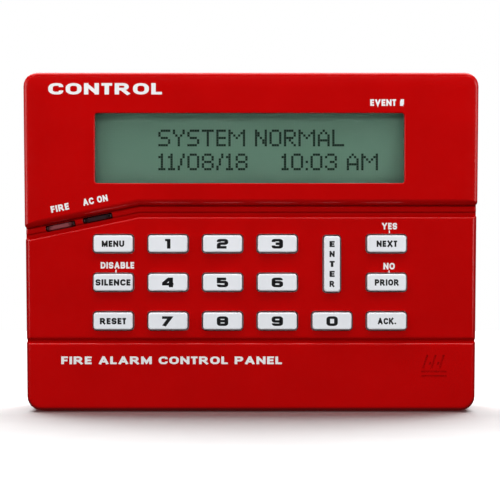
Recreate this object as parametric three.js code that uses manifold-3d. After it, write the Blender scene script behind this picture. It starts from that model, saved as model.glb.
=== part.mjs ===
// Wall-mounted fire alarm control panel: a red plastic case with a two-line display, 17 keys and
// two status lights, hung on a back plate. Millimetres, +Z up, the front faces -Y.
// The origin is the middle of the back plate's wall face, so the wall is the plane y = 0.

import * as THREE from 'three';
import { mergeVertices } from 'three/addons/utils/BufferGeometryUtils.js';
import Module from 'manifold-3d';

const wasm = await Module();
wasm.setup();

// ---- Driving dimensions ---------------------------------------------------------------------

const GAP = 0.3; // between pieces that rest on each other
const ARC_STEPS = 2; // half the edges in each rounded corner
const ROUND_SIDES = 12; // sides of a small round piece
const PAST = 1; // how far a cutter reaches past the face it goes through
const FAR = 100; // beyond every piece

// Case outline, seen from the front: it narrows slightly towards the bottom
const CASE_TOP = 59.8;
const CASE_BOTTOM = -59.5;
const HALF_WIDTH_TOP = 80.3;
const HALF_WIDTH_BOTTOM = 79.1;
const CORNER_RADIUS = 5.0;
const WALL = 2.6;

// Planes of the case, y
const CASE_REAR = -0.5;
const DISPLAY_FACE = -29.0;
const DISPLAY_INNER = -26.5;
const KEYPAD_FACE = -26.8;
const KEYPAD_INNER = -24.3;
const STRIP_FACE = -25.8;
const GROOVE_FLOOR = -24.8;
const CHANNEL_INNER = -23.2;

// Channel between the display and the keypad: level on the right, sloping down left of the knee
const KNEE_X = -39.4;
const CHANNEL_SLOPE = THREE.MathUtils.degToRad(11.6);
const CHANNEL_TOP = 12.4;
const CHANNEL_BOTTOM = 9.2;
const GROOVE_TOP = 10.55;
const CHANNEL_RIB = 2.0; // how far the wall stays thick above and below the channel
const REVEAL = 0.5; // depth of the channel in the case's sides
const END_CHAMFER = 1.0; // where the channel meets the case's sides
const DISPLAY_BEVEL = 0.8;
const KEYPAD_BEVEL = 0.8;

// V groove between the keypad and the bottom band
const V_GROOVE_Z = -34.85;
const V_GROOVE_HALF = 0.95;
const V_GROOVE_DEPTH = 1.0;

// Emblem field on the bottom band
const EMBLEM = { x: 64.5, z: -43.8, width: 9.5, height: 8.2, radius: 1.6, depth: 0.4, disc: 2.6 };

// Display
const WINDOW = { x: -0.5, z: 33.0, width: 108.8, height: 24.6, radius: 0.8 };
const WINDOW_PLATE = { width: 113, height: 28.8, radius: 1, thickness: 1.5 };
const BEZEL = { width: 115, height: 31, radius: 1, openWidth: 110.4, openHeight: 26.2, lip: 0.5 };
const BEZEL_WALL = 0.8;
const BEZEL_INNER_RADIUS = 0.5;
const LCD_GLASS_THICKNESS = 1.6;
const LCD_BACKLIGHT_THICKNESS = 1.2;
const LCD_BOARD = { width: 128, height: 36, radius: 1, screwX: 60.5, screwZ: 14.5 };
const LCD_HEADER = { x: -30.5, z: 47.5, width: 40.6, depth: 1.0, height: 2.4 };
const LCD_BOARD_REAR = -18.6;
const BOARD_THICKNESS = 1.6;
const BEZEL_FRONT = DISPLAY_INNER + WINDOW_PLATE.thickness + 2 * GAP;
const LCD_BOARD_FRONT = LCD_BOARD_REAR - BOARD_THICKNESS;

// Keys
const KEY = { width: 13.8, height: 6.0, radius: 1.0, bevel: 0.45 };
const ENTER_KEY = { width: 5.7, height: 19.7, radius: 1.0, bevel: 0.45 };
const KEY_FACE = -28.5;
const KEY_CLEARANCE = 0.45;
const KEY_FLANGE = { overhang: 1.1, front: -23.9, rear: -22.9 };
const KEY_PLUNGER = { inset: 2.6, smallestShare: 0.25, rear: -20.9 };
const COLUMN_PITCH = 19.25;
const ROW_PITCH = 13.6;
const FIRST_COLUMN_X = -48.5;
const FIRST_ROW_Z = -0.6;
const ENTER_Z = -7.7;
const KEY_ROWS = [
  ['menu', '1', '2', '3', null, 'next'],
  ['silence', '4', '5', '6', null, 'prior'],
  ['reset', '7', '8', '9', '0', 'ack'],
];
const ENTER_COLUMN = 4;

// Keypad mat and main board
const MAT = { left: -59.0, right: 58.5, bottom: -34.5, top: 5.0, thickness: 1.0 };
const DOME = { rise: 2.3, inset: 0.9, bevel: 1.0, radius: 1.6, lowest: 4 };
const BOARD_FRONT = -17.0;
const BOARD_REAR = BOARD_FRONT + BOARD_THICKNESS;
const BOARD = { halfWidth: 73.5, bottom: -54.0, top: 52.0, radius: 2.0 };
const BOARD_SCREWS = [[-69, -49.5], [69, -49.5], [-69, -12], [69, -12], [-69, 48], [69, 48]];
const MAT_REAR = BOARD_FRONT - GAP;
const MAT_FRONT = MAT_REAR - MAT.thickness;

// Screws that go into the case's bosses
const BOSS_RADIUS = 2.5;
const BOSS_HOLE_RADIUS = 1.1;
const BOSS_HOLE_DEPTH = 5.0;
const SHANK_RADIUS = 0.8;
const BOARD_HOLE_RADIUS = 1.5;
const BOARD_SCREW = { headRadius: 2.4, headHeight: 1.6, reach: 6 };
const LCD_SCREW = { headRadius: 2.0, headHeight: 1.0, reach: 5 };

// Status lights in the sloping part of the channel
const LIGHT_SLOT = { width: 10.6, height: 2.1, radius: 0.4 };
const LIGHT_FACE = -26.0;
const LIGHT_PIPE_REAR = -19.9;
const LIGHT_FLANGE = { overhang: 0.9, thickness: 0.8 };
const LIGHTS = { fire: { x: -67.3, z: 5.6 }, power: { x: -54.2, z: 8.4 } };
const LED = { width: 3.2, height: 1.6 };

// Parts on the back of the main board: x and z of the middle, and sizes
const SOUNDER = { x: 48, z: -30, radius: 6, height: 5.5, holeRadius: 1, holeDepth: 2.5 };
const MICROCONTROLLER = { x: -42, z: 22, side: 12, radius: 0.4, height: 1.6 };
const CRYSTAL = { x: -42, z: 34, width: 11, depth: 4.6, radius: 2.2, height: 3.5 };
const REGULATOR = { x: 48, z: 18, halfWidth: 5, halfHeight: 4.5, height: 4.4 };
const REGULATOR_TAB = { top: 10.5, thickness: 1.3, holeRadius: 1.8, holeZ: 7.6 };
const CAPACITOR = { radius: 3.15, height: 6.3 };
const CAPACITOR_PLACES = [[36, 32], [36, 40]];
const TERMINAL = { x: 0, z: 32, ways: 5, pitch: 5.08, height: 9, depth: 6.4 };
const TERMINAL_WIRE_HOLE = { half: 1.4, depth: 4 };
const TERMINAL_WELL = { radius: 1.5, depth: 1 };
const HEADER = { x: -48, z: -30, columns: 3, rows: 2, pitch: 2.54, base: 2.5, pin: 0.32, tip: 6.2 };

// Back plate
const PLATE = { inset: 3.2, thickness: 2.2, top: 52.2, rim: 1.6, rimFront: -5.0 };
const CABLE_OPENING = { x: 18, width: 24, height: 40, radius: 2 };
const SCREW_SLOT = { x: 23, z: 41.7, width: 4.4, length: 9, radius: 2.19 };
const CORNER_HOLE = { x: 66, z: 44, radius: 2.2 };
const PLATE_SKIN = 1; // how far the arms and tabs are rooted in the plate
const HINGE = { y: -3.5, z: 56.6, barRadius: 1.2, x: 45, width: 12, armHalf: 0.8, riserFoot: 48 };
const HINGE_POCKET = { margin: 1.0, rear: -1.8, front: -7.5, ceiling: 58.6 };
const TAB = { x: 40, width: 10, thickness: 1.2, front: -5.5, nose: 1.8, tip: -58.3 };
const TAB_NOTCH = { margin: 1.0, front: -6.2 };

// ---- Finishes -------------------------------------------------------------------------------

const finish = (color, roughness, metalness = 0) =>
  new THREE.MeshStandardMaterial({ color, roughness, metalness });

const RED_PLASTIC = finish(0xb40304, 0.32);
const KEY_PLASTIC = finish(0xdde0e3, 0.4);
const BLACK_PLASTIC = finish(0x1b1b1d, 0.45);
const PLATE_PLASTIC = finish(0x232325, 0.6);
const SILICONE = finish(0xb9bcc0, 0.75);
const CLEAR = finish(0xdfe8e6, 0.08);
const LCD_GREEN = finish(0x567763, 0.3);
const BACKLIGHT_WHITE = finish(0xe8ecdf, 0.5);
const BOARD_GREEN = finish(0x1f5a35, 0.45);
const TIN = finish(0xc3c5c7, 0.3, 1);
const BEZEL_STEEL = finish(0x2c2d2e, 0.4, 0.6);
const TERMINAL_GREEN = finish(0x2b7a4a, 0.5);
const LIGHT_ROSE = finish(0x8d4a4f, 0.35);
const LIGHT_DARK = finish(0x1c1012, 0.35);
const CAN_SLEEVE = finish(0x20242e, 0.35);

// ---- Geometry helpers -----------------------------------------------------------------------

// A closed three.js geometry as a solid that can be cut and joined
function solid(geometry) {
  const bare = geometry.clone();
  bare.deleteAttribute('normal');
  bare.deleteAttribute('uv');
  const merged = mergeVertices(bare, 1e-4);
  return new wasm.Manifold(new wasm.Mesh({
    numProp: 3,
    vertProperties: new Float32Array(merged.attributes.position.array),
    triVerts: new Uint32Array(merged.index.array),
  }));
}

// A finished solid as a three.js geometry
function geometryOf(body) {
  const { vertProperties, triVerts } = body.getMesh();
  const geometry = new THREE.BufferGeometry();
  geometry.setAttribute('position', new THREE.BufferAttribute(vertProperties, 3));
  geometry.setIndex(new THREE.BufferAttribute(triVerts, 1));
  geometry.computeVertexNormals();
  return geometry;
}

// A front-view outline (x, z) made solid from y = back to y = front. A bevel narrows the front
// edge; the same bevel stands out behind `back`, where another solid covers it or a cut removes it.
function slab(shape, back, front, bevel = 0, bevelSegments = 2) {
  const geometry = new THREE.ExtrudeGeometry(shape, {
    depth: back - front - bevel,
    curveSegments: ARC_STEPS,
    bevelEnabled: bevel > 0,
    bevelThickness: bevel,
    bevelSize: bevel,
    bevelOffset: -bevel,
    bevelSegments,
  });
  geometry.rotateX(Math.PI / 2);
  geometry.translate(0, back, 0);
  return solid(geometry);
}

// A box between two corners
function block(low, high) {
  const size = high.map((value, axis) => value - low[axis]);
  const middle = high.map((value, axis) => (value + low[axis]) / 2);
  return solid(new THREE.BoxGeometry(...size).translate(...middle));
}

// A round post along Y at (x, z)
function post(x, z, radius, back, front) {
  const geometry = new THREE.CylinderGeometry(radius, radius, back - front, ROUND_SIDES);
  return solid(geometry.translate(x, (back + front) / 2, z));
}

// A round bar along X
function bar(x, y, z, radius, length) {
  const geometry = new THREE.CylinderGeometry(radius, radius, length, ROUND_SIDES);
  return solid(geometry.rotateZ(Math.PI / 2).translate(x, y, z));
}

// A (y, z) profile made solid from x = -reach to x = reach
function longProfile(corners, reach) {
  const shape = new THREE.Shape(corners.map(([y, z]) => new THREE.Vector2(y, z)));
  const geometry = new THREE.ExtrudeGeometry(shape, { depth: 2 * reach, bevelEnabled: false });
  const turn = new THREE.Matrix4().makeBasis(
    new THREE.Vector3(0, 1, 0),
    new THREE.Vector3(0, 0, 1),
    new THREE.Vector3(1, 0, 0),
  );
  return solid(geometry.applyMatrix4(turn).translate(-reach, 0, 0));
}

function polygon(corners) {
  return new THREE.Shape(corners.map(([x, z]) => new THREE.Vector2(x, z)));
}

function roundedRectangle(width, height, radius, x = 0, z = 0, tilt = 0) {
  const right = width / 2 - radius;
  const up = height / 2 - radius;
  const centres = [[right, up], [-right, up], [-right, -up], [right, -up]];
  const shape = new THREE.Shape();
  centres.forEach(([cx, cz], quarter) => {
    shape.absarc(cx, cz, radius, quarter * Math.PI / 2, (quarter + 1) * Math.PI / 2, false);
  });
  const centre = new THREE.Vector2(0, 0);
  const place = new THREE.Vector2(x, z);
  return new THREE.Shape(
    shape.getPoints(ARC_STEPS).map((corner) => corner.rotateAround(centre, tilt).add(place)),
  );
}

const unite = (bodies) => bodies.reduce((whole, body) => whole.add(body));
const cut = (whole, bodies) => bodies.reduce((rest, body) => rest.subtract(body), whole);
const bothSides = (make) => [make(-1), make(1)];

// ---- Case outline ---------------------------------------------------------------------------

function halfWidth(z) {
  const share = (z - CASE_BOTTOM) / (CASE_TOP - CASE_BOTTOM);
  return THREE.MathUtils.lerp(HALF_WIDTH_BOTTOM, HALF_WIDTH_TOP, share);
}

// Height at x of a line that runs along the channel and is at z on its level part
function alongChannel(x, z) {
  return z - Math.max(0, KNEE_X - x) * Math.tan(CHANNEL_SLOPE);
}

// The strip between two such lines, wider than the case
function channelStrip(low, high) {
  const reach = 2 * HALF_WIDTH_TOP;
  return polygon([
    [-reach, alongChannel(-reach, low)],
    [KNEE_X, low],
    [reach, low],
    [reach, high],
    [KNEE_X, high],
    [-reach, alongChannel(-reach, high)],
  ]);
}

function topCorners(shape, inset, top) {
  const radius = CORNER_RADIUS - inset > 1 ? CORNER_RADIUS - inset : 1;
  const centreX = halfWidth(top) - inset - radius;
  shape.absarc(centreX, top - radius, radius, 0, Math.PI / 2, false);
  shape.absarc(-centreX, top - radius, radius, Math.PI / 2, Math.PI, false);
}

function bottomCorners(shape, inset, bottom) {
  const radius = CORNER_RADIUS - inset > 1 ? CORNER_RADIUS - inset : 1;
  const centreX = halfWidth(bottom) - inset - radius;
  shape.absarc(-centreX, bottom + radius, radius, Math.PI, 1.5 * Math.PI, false);
  shape.absarc(centreX, bottom + radius, radius, 1.5 * Math.PI, 2 * Math.PI, false);
}

function caseOutline(inset, top = CASE_TOP - inset, bottom = CASE_BOTTOM + inset) {
  const shape = new THREE.Shape();
  bottomCorners(shape, inset, bottom);
  topCorners(shape, inset, top);
  return shape;
}

// The display section: everything above the channel
function displayOutline() {
  const right = halfWidth(CHANNEL_TOP);
  const leftEnd = alongChannel(-right, CHANNEL_TOP);
  const left = -halfWidth(leftEnd);
  const shape = new THREE.Shape();
  shape.moveTo(KNEE_X, CHANNEL_TOP);
  shape.lineTo(right - END_CHAMFER, CHANNEL_TOP);
  shape.lineTo(right, CHANNEL_TOP + END_CHAMFER);
  topCorners(shape, 0, CASE_TOP);
  shape.lineTo(left, leftEnd + END_CHAMFER);
  shape.lineTo(left + END_CHAMFER, alongChannel(left + END_CHAMFER, CHANNEL_TOP));
  return shape;
}

// The keypad section and the bottom band: everything below the channel
function keypadOutline() {
  const right = halfWidth(CHANNEL_BOTTOM);
  const leftEnd = alongChannel(-right, CHANNEL_BOTTOM);
  const left = -halfWidth(leftEnd);
  const shape = new THREE.Shape();
  bottomCorners(shape, 0, CASE_BOTTOM);
  shape.lineTo(right, CHANNEL_BOTTOM - END_CHAMFER);
  shape.lineTo(right - END_CHAMFER, CHANNEL_BOTTOM);
  shape.lineTo(KNEE_X, CHANNEL_BOTTOM);
  shape.lineTo(left + END_CHAMFER, alongChannel(left + END_CHAMFER, CHANNEL_BOTTOM));
  shape.lineTo(left, leftEnd - END_CHAMFER);
  return shape;
}

// ---- Key layout -----------------------------------------------------------------------------

function keyLayout() {
  const keys = KEY_ROWS.flatMap((row, rowNumber) => row.map((name, column) => ({
    name,
    size: KEY,
    x: FIRST_COLUMN_X + column * COLUMN_PITCH,
    z: FIRST_ROW_Z - rowNumber * ROW_PITCH,
  })));
  const enterX = FIRST_COLUMN_X + ENTER_COLUMN * COLUMN_PITCH;
  keys.push({ name: 'enter', size: ENTER_KEY, x: enterX, z: ENTER_Z });
  return keys.filter(({ name }) => name !== null);
}

const KEYS = keyLayout();

// ---- Front housing --------------------------------------------------------------------------

function housingShell() {
  const base = slab(caseOutline(REVEAL), 0, STRIP_FACE);
  const groove = slab(channelStrip(CHANNEL_BOTTOM - PAST, GROOVE_TOP), GROOVE_FLOOR, KEYPAD_FACE);
  const display = slab(displayOutline(), 0, DISPLAY_FACE, DISPLAY_BEVEL);
  const keypad = slab(keypadOutline(), 0, KEYPAD_FACE, KEYPAD_BEVEL);
  return unite([base.subtract(groove), display, keypad]);
}

function housingCavity() {
  const deepest = slab(caseOutline(WALL), PAST, DISPLAY_INNER);
  const middle = slab(caseOutline(WALL), PAST, KEYPAD_INNER);
  const behindDisplay = slab(
    channelStrip(CHANNEL_TOP + CHANNEL_RIB, CASE_TOP), PAST, DISPLAY_INNER,
  );
  const behindKeypad = slab(
    channelStrip(2 * CASE_BOTTOM, CHANNEL_BOTTOM - CHANNEL_RIB), PAST, KEYPAD_INNER,
  );
  return unite([
    slab(caseOutline(WALL), PAST, CHANNEL_INNER),
    deepest.intersect(behindDisplay),
    middle.intersect(behindKeypad),
  ]);
}

function vGroove() {
  const across = longProfile([
    [KEYPAD_FACE - V_GROOVE_DEPTH, V_GROOVE_Z - 2 * V_GROOVE_HALF],
    [KEYPAD_FACE + V_GROOVE_DEPTH, V_GROOVE_Z],
    [KEYPAD_FACE - V_GROOVE_DEPTH, V_GROOVE_Z + 2 * V_GROOVE_HALF],
  ], HALF_WIDTH_TOP + PAST);
  const side = halfWidth(V_GROOVE_Z);
  const notches = bothSides((sign) => slab(polygon([
    [sign * (side - V_GROOVE_DEPTH), V_GROOVE_Z],
    [sign * (side + V_GROOVE_DEPTH), V_GROOVE_Z - 2 * V_GROOVE_HALF],
    [sign * (side + V_GROOVE_DEPTH), V_GROOVE_Z + 2 * V_GROOVE_HALF],
  ]), PAST, KEYPAD_FACE - PAST));
  return unite([across, ...notches]);
}

function emblemField() {
  const field = slab(
    roundedRectangle(EMBLEM.width, EMBLEM.height, EMBLEM.radius, EMBLEM.x, EMBLEM.z),
    KEYPAD_FACE + EMBLEM.depth,
    KEYPAD_FACE - PAST,
  );
  const disc = post(EMBLEM.x, EMBLEM.z, EMBLEM.disc, KEYPAD_INNER, KEYPAD_FACE - 2 * PAST);
  return field.subtract(disc);
}

function keyOpening({ size, x, z }) {
  const outline = roundedRectangle(
    size.width + 2 * KEY_CLEARANCE,
    size.height + 2 * KEY_CLEARANCE,
    size.radius + KEY_CLEARANCE,
    x,
    z,
  );
  return slab(outline, KEYPAD_INNER + PAST, KEYPAD_FACE - PAST);
}

function lightSlot({ x, z }) {
  const { width, height, radius } = LIGHT_SLOT;
  const outline = roundedRectangle(width, height, radius, x, z, CHANNEL_SLOPE);
  return slab(outline, CHANNEL_INNER + PAST, STRIP_FACE - PAST);
}

function screwBoss(x, z, rear, root) {
  const hole = post(x, z, BOSS_HOLE_RADIUS, rear + PAST, rear - BOSS_HOLE_DEPTH);
  return post(x, z, BOSS_RADIUS, rear, root).subtract(hole);
}

function hingePocket(sign) {
  const reach = HINGE.width / 2 + HINGE_POCKET.margin;
  return block(
    [sign * HINGE.x - reach, HINGE_POCKET.front, CASE_TOP - WALL - PAST],
    [sign * HINGE.x + reach, HINGE_POCKET.rear, HINGE_POCKET.ceiling],
  );
}

function tabNotch(sign) {
  const reach = TAB.width / 2 + TAB_NOTCH.margin;
  return block(
    [sign * TAB.x - reach, TAB_NOTCH.front, CASE_BOTTOM - PAST],
    [sign * TAB.x + reach, PAST, CASE_BOTTOM + WALL + PAST],
  );
}

function frontHousing() {
  const rearTrim = block([-FAR, CASE_REAR, -FAR], [FAR, FAR, FAR]);
  const window = slab(
    roundedRectangle(WINDOW.width, WINDOW.height, WINDOW.radius, WINDOW.x, WINDOW.z),
    DISPLAY_INNER + PAST,
    DISPLAY_FACE - PAST,
  );
  const shell = cut(housingShell(), [
    rearTrim,
    housingCavity(),
    vGroove(),
    emblemField(),
    window,
    ...KEYS.map(keyOpening),
    ...Object.values(LIGHTS).map(lightSlot),
    ...bothSides(hingePocket),
    ...bothSides(tabNotch),
  ]);
  const boardBosses = BOARD_SCREWS.map(([x, z]) => {
    const root = z > CHANNEL_TOP ? DISPLAY_INNER : KEYPAD_INNER;
    return screwBoss(x, z, BOARD_FRONT - GAP, root - PAST);
  });
  const displayBosses = lcdScrewPlaces().map(
    ([x, z]) => screwBoss(x, z, LCD_BOARD_FRONT - GAP, DISPLAY_INNER - PAST),
  );
  return unite([shell, ...boardBosses, ...displayBosses]);
}

// ---- Display module -------------------------------------------------------------------------

function lcdScrewPlaces() {
  const { screwX, screwZ } = LCD_BOARD;
  return [[-1, -1], [1, -1], [-1, 1], [1, 1]].map(
    ([right, up]) => [WINDOW.x + right * screwX, WINDOW.z + up * screwZ],
  );
}

function displayWindow() {
  const { width, height, radius, thickness } = WINDOW_PLATE;
  return slab(roundedRectangle(width, height, radius), thickness / 2, -thickness / 2);
}

function lcdBezel() {
  const { width, height, radius, openWidth, openHeight, lip } = BEZEL;
  const depth = LCD_BOARD_FRONT - GAP - BEZEL_FRONT;
  const outer = slab(roundedRectangle(width, height, radius), 0, -depth);
  const opening = slab(
    roundedRectangle(openWidth, openHeight, BEZEL_INNER_RADIUS), PAST, -depth - PAST,
  );
  const inside = slab(
    roundedRectangle(width - 2 * BEZEL_WALL, height - 2 * BEZEL_WALL, BEZEL_INNER_RADIUS),
    PAST,
    -depth + lip,
  );
  return cut(outer, [opening, inside]);
}

// A plate that lies inside the bezel
function bezelInsert(thickness) {
  const margin = 2 * (BEZEL_WALL + GAP);
  const outline = roundedRectangle(
    BEZEL.width - margin, BEZEL.height - margin, BEZEL_INNER_RADIUS,
  );
  return slab(outline, 0, -thickness);
}

function lcdBoard() {
  const { width, height, radius } = LCD_BOARD;
  const outline = roundedRectangle(width, height, radius, WINDOW.x, WINDOW.z);
  const board = slab(outline, LCD_BOARD_REAR, LCD_BOARD_FRONT);
  const holes = lcdScrewPlaces().map(
    ([x, z]) => post(x, z, BOARD_HOLE_RADIUS, LCD_BOARD_REAR + PAST, LCD_BOARD_FRONT - PAST),
  );
  return cut(board, holes);
}

function lcdHeader() {
  const { width, depth, height } = LCD_HEADER;
  return block([-width / 2, -depth / 2, -height / 2], [width / 2, depth / 2, height / 2]);
}

// ---- Keys, mat and main board ---------------------------------------------------------------

function keyBody(size) {
  const { width, height, radius, bevel } = size;
  const { overhang, front, rear } = KEY_FLANGE;
  const cap = slab(roundedRectangle(width, height, radius), front, KEY_FACE, bevel);
  const flange = block(
    [-width / 2 - overhang, front, -height / 2 - overhang],
    [width / 2 + overhang, rear, height / 2 + overhang],
  );
  const plungerX = width / 2 - Math.min(KEY_PLUNGER.inset, width * KEY_PLUNGER.smallestShare);
  const plungerZ = height / 2 - Math.min(KEY_PLUNGER.inset, height * KEY_PLUNGER.smallestShare);
  const plunger = block(
    [-plungerX, (front + rear) / 2, -plungerZ],
    [plungerX, KEY_PLUNGER.rear, plungerZ],
  );
  return unite([cap, flange, plunger]);
}

function dome({ size, x, z }) {
  const outline = roundedRectangle(
    size.width - 2 * DOME.inset,
    Math.max(size.height - 2 * DOME.inset, DOME.lowest),
    DOME.radius,
    x,
    z,
  );
  return slab(outline, MAT_REAR - MAT.thickness / 2, MAT_FRONT - DOME.rise, DOME.bevel, 1);
}

function keypadMat() {
  const sheet = block([MAT.left, MAT_FRONT, MAT.bottom], [MAT.right, MAT_REAR, MAT.top]);
  const behind = block([-FAR, MAT_REAR, -FAR], [FAR, FAR, FAR]);
  return unite([sheet, ...KEYS.map(dome)]).subtract(behind);
}

function mainBoard() {
  const { halfWidth: half, bottom, top, radius } = BOARD;
  const outline = roundedRectangle(2 * half, top - bottom, radius, 0, (top + bottom) / 2);
  const holes = BOARD_SCREWS.map(
    ([x, z]) => post(x, z, BOARD_HOLE_RADIUS, BOARD_REAR + PAST, BOARD_FRONT - PAST),
  );
  return cut(slab(outline, BOARD_REAR, BOARD_FRONT), holes);
}

// A screw whose head rests on y = 0 and whose shank points to the front
function screw({ headRadius, headHeight, reach }) {
  const head = post(0, 0, headRadius, headHeight, 0);
  return head.add(post(0, 0, SHANK_RADIUS, headHeight / 2, -reach));
}

// ---- Status lights --------------------------------------------------------------------------

function lightPipe() {
  const { width, height, radius } = LIGHT_SLOT;
  const { overhang, thickness } = LIGHT_FLANGE;
  const stem = slab(
    roundedRectangle(width - 2 * GAP, height - 2 * GAP, radius), LIGHT_PIPE_REAR, LIGHT_FACE,
  );
  const flangeFront = CHANNEL_INNER + GAP;
  const flange = block(
    [-width / 2 - overhang, flangeFront, -height / 2 - overhang],
    [width / 2 + overhang, flangeFront + thickness, height / 2 + overhang],
  );
  return stem.add(flange);
}

function led() {
  return block(
    [-LED.width / 2, LIGHT_PIPE_REAR + GAP, -LED.height / 2],
    [LED.width / 2, BOARD_FRONT - GAP, LED.height / 2],
  );
}

// ---- Parts on the back of the main board, each standing on y = 0 ------------------------------

function sounder() {
  const { radius, height, holeRadius, holeDepth } = SOUNDER;
  const hole = post(0, 0, holeRadius, height + PAST, height - holeDepth);
  return post(0, 0, radius, height, 0).subtract(hole);
}

function microcontroller() {
  const { side, radius, height } = MICROCONTROLLER;
  return slab(roundedRectangle(side, side, radius), height, 0);
}

function crystal() {
  const { width, depth, radius, height } = CRYSTAL;
  return slab(roundedRectangle(width, depth, radius), height, 0);
}

function voltageRegulator() {
  const { halfWidth: half, halfHeight, height } = REGULATOR;
  const { top, thickness, holeRadius, holeZ } = REGULATOR_TAB;
  const moulding = block([-half, 0, -halfHeight], [half, height, halfHeight]);
  const tab = block([-half, 0, 0], [half, thickness, top]);
  return moulding.add(tab).subtract(post(0, holeZ, holeRadius, thickness + PAST, -PAST));
}

function capacitor() {
  return post(0, 0, CAPACITOR.radius, CAPACITOR.height, 0);
}

// Wire holes face down, screw wells face the wall
function terminalBlock() {
  const { ways, pitch, height, depth } = TERMINAL;
  const half = ways * pitch / 2;
  const body = block([-half, 0, -height / 2], [half, depth, height / 2]);
  const wells = Array.from({ length: ways }, (_, way) => (way + 0.5) * pitch - half);
  return cut(body, wells.flatMap((x) => [
    block(
      [x - TERMINAL_WIRE_HOLE.half, depth / 3 - TERMINAL_WIRE_HOLE.half, -height / 2 - PAST],
      [
        x + TERMINAL_WIRE_HOLE.half,
        depth / 3 + TERMINAL_WIRE_HOLE.half,
        -height / 2 + TERMINAL_WIRE_HOLE.depth,
      ],
    ),
    post(x, 0, TERMINAL_WELL.radius, depth + PAST, depth - TERMINAL_WELL.depth),
  ]));
}

// Two rows of square pins in a low plastic base
function addressHeader() {
  const { columns, rows, pitch, base, pin, tip } = HEADER;
  const halfX = columns * pitch / 2;
  const halfZ = rows * pitch / 2;
  const pins = Array.from({ length: columns * rows }, (_, number) => {
    const x = (number % columns + 0.5) * pitch - halfX;
    const z = (Math.floor(number / columns) + 0.5) * pitch - halfZ;
    return block([x - pin, base / 2, z - pin], [x + pin, tip, z + pin]);
  });
  return unite([block([-halfX, 0, -halfZ], [halfX, base, halfZ]), ...pins]);
}

// ---- Back plate -----------------------------------------------------------------------------

function hingeArm(sign) {
  const { y, z, barRadius, x, width, armHalf, riserFoot } = HINGE;
  const low = sign * x - width / 2;
  const high = sign * x + width / 2;
  const riser = block([low, PLATE.rimFront, riserFoot], [high, -PLATE_SKIN, PLATE.top]);
  const arm = block([low, y - armHalf, PLATE.top - PLATE_SKIN], [high, y + armHalf, z]);
  return unite([riser, arm, bar(sign * x, y, z, barRadius, width)]);
}

function snapTab(sign) {
  const { x, width, thickness, front, nose, tip } = TAB;
  const low = sign * x - width / 2;
  const high = sign * x + width / 2;
  const root = CASE_BOTTOM + PLATE.inset;
  const leaf = block([low, front, root], [high, -PLATE_SKIN, root + thickness]);
  return leaf.add(block([low, front, tip], [high, front + nose, root + thickness / 2]));
}

// A rounded opening through the plate
function plateOpening(width, height, radius, x, z) {
  const outline = roundedRectangle(width, height, radius, x, z);
  return slab(outline, PAST, -PLATE.thickness - PAST);
}

function backPlate() {
  const { inset, thickness, top, rim, rimFront } = PLATE;
  const tray = slab(caseOutline(inset, top), 0, rimFront);
  const hollow = slab(caseOutline(inset + rim, top - rim), -thickness, rimFront - PAST);
  const cables = bothSides((sign) => plateOpening(
    CABLE_OPENING.width, CABLE_OPENING.height, CABLE_OPENING.radius, sign * CABLE_OPENING.x, 0,
  ));
  const quarters = [[-1, -1], [1, -1], [-1, 1], [1, 1]];
  const slots = quarters.map(([right, up]) => plateOpening(
    SCREW_SLOT.width,
    SCREW_SLOT.length,
    SCREW_SLOT.radius,
    right * SCREW_SLOT.x,
    up * SCREW_SLOT.z,
  ));
  const holes = quarters.map(([right, up]) => post(
    right * CORNER_HOLE.x, up * CORNER_HOLE.z, CORNER_HOLE.radius, PAST, -thickness - PAST,
  ));
  const plate = cut(tray, [hollow, ...cables, ...slots, ...holes]);
  return unite([plate, ...bothSides(hingeArm), ...bothSides(snapTab)]);
}

// ---- Assembly -------------------------------------------------------------------------------

const panel = new THREE.Group();

function add(name, body, material, position = [0, 0, 0], tilt = 0) {
  const mesh = new THREE.Mesh(geometryOf(body), material);
  mesh.name = name;
  mesh.position.set(...position);
  mesh.rotation.y = -tilt;
  panel.add(mesh);
}

add('back_plate', backPlate(), PLATE_PLASTIC);
add('front_housing', frontHousing(), RED_PLASTIC);

const windowY = DISPLAY_INNER + GAP + WINDOW_PLATE.thickness / 2;
const bezelRear = LCD_BOARD_FRONT - GAP;
const glassRear = BEZEL_FRONT + BEZEL.lip + GAP + LCD_GLASS_THICKNESS;
const headerY = (LCD_BOARD_REAR + BOARD_FRONT) / 2;
add('display_window', displayWindow(), CLEAR, [WINDOW.x, windowY, WINDOW.z]);
add('lcd_bezel', lcdBezel(), BEZEL_STEEL, [WINDOW.x, bezelRear, WINDOW.z]);
add('lcd_glass', bezelInsert(LCD_GLASS_THICKNESS), LCD_GREEN, [WINDOW.x, glassRear, WINDOW.z]);
add('lcd_backlight', bezelInsert(LCD_BACKLIGHT_THICKNESS), BACKLIGHT_WHITE,
  [WINDOW.x, bezelRear, WINDOW.z]);
add('lcd_board', lcdBoard(), BOARD_GREEN);
add('lcd_header', lcdHeader(), BLACK_PLASTIC, [LCD_HEADER.x, headerY, LCD_HEADER.z]);
lcdScrewPlaces().forEach(([x, z], number) => {
  add(`lcd_screw_${number + 1}`, screw(LCD_SCREW), TIN, [x, LCD_BOARD_REAR + GAP, z]);
});

add('keypad_mat', keypadMat(), SILICONE);
add('main_board', mainBoard(), BOARD_GREEN);
BOARD_SCREWS.forEach(([x, z], number) => {
  add(`board_screw_${number + 1}`, screw(BOARD_SCREW), TIN, [x, BOARD_REAR + GAP, z]);
});

const LIGHT_FINISHES = { fire: LIGHT_ROSE, power: LIGHT_DARK };
Object.entries(LIGHTS).forEach(([name, { x, z }]) => {
  add(`${name}_light_pipe`, lightPipe(), LIGHT_FINISHES[name], [x, 0, z], CHANNEL_SLOPE);
  add(`${name}_led`, led(), CLEAR, [x, 0, z]);
});

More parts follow.
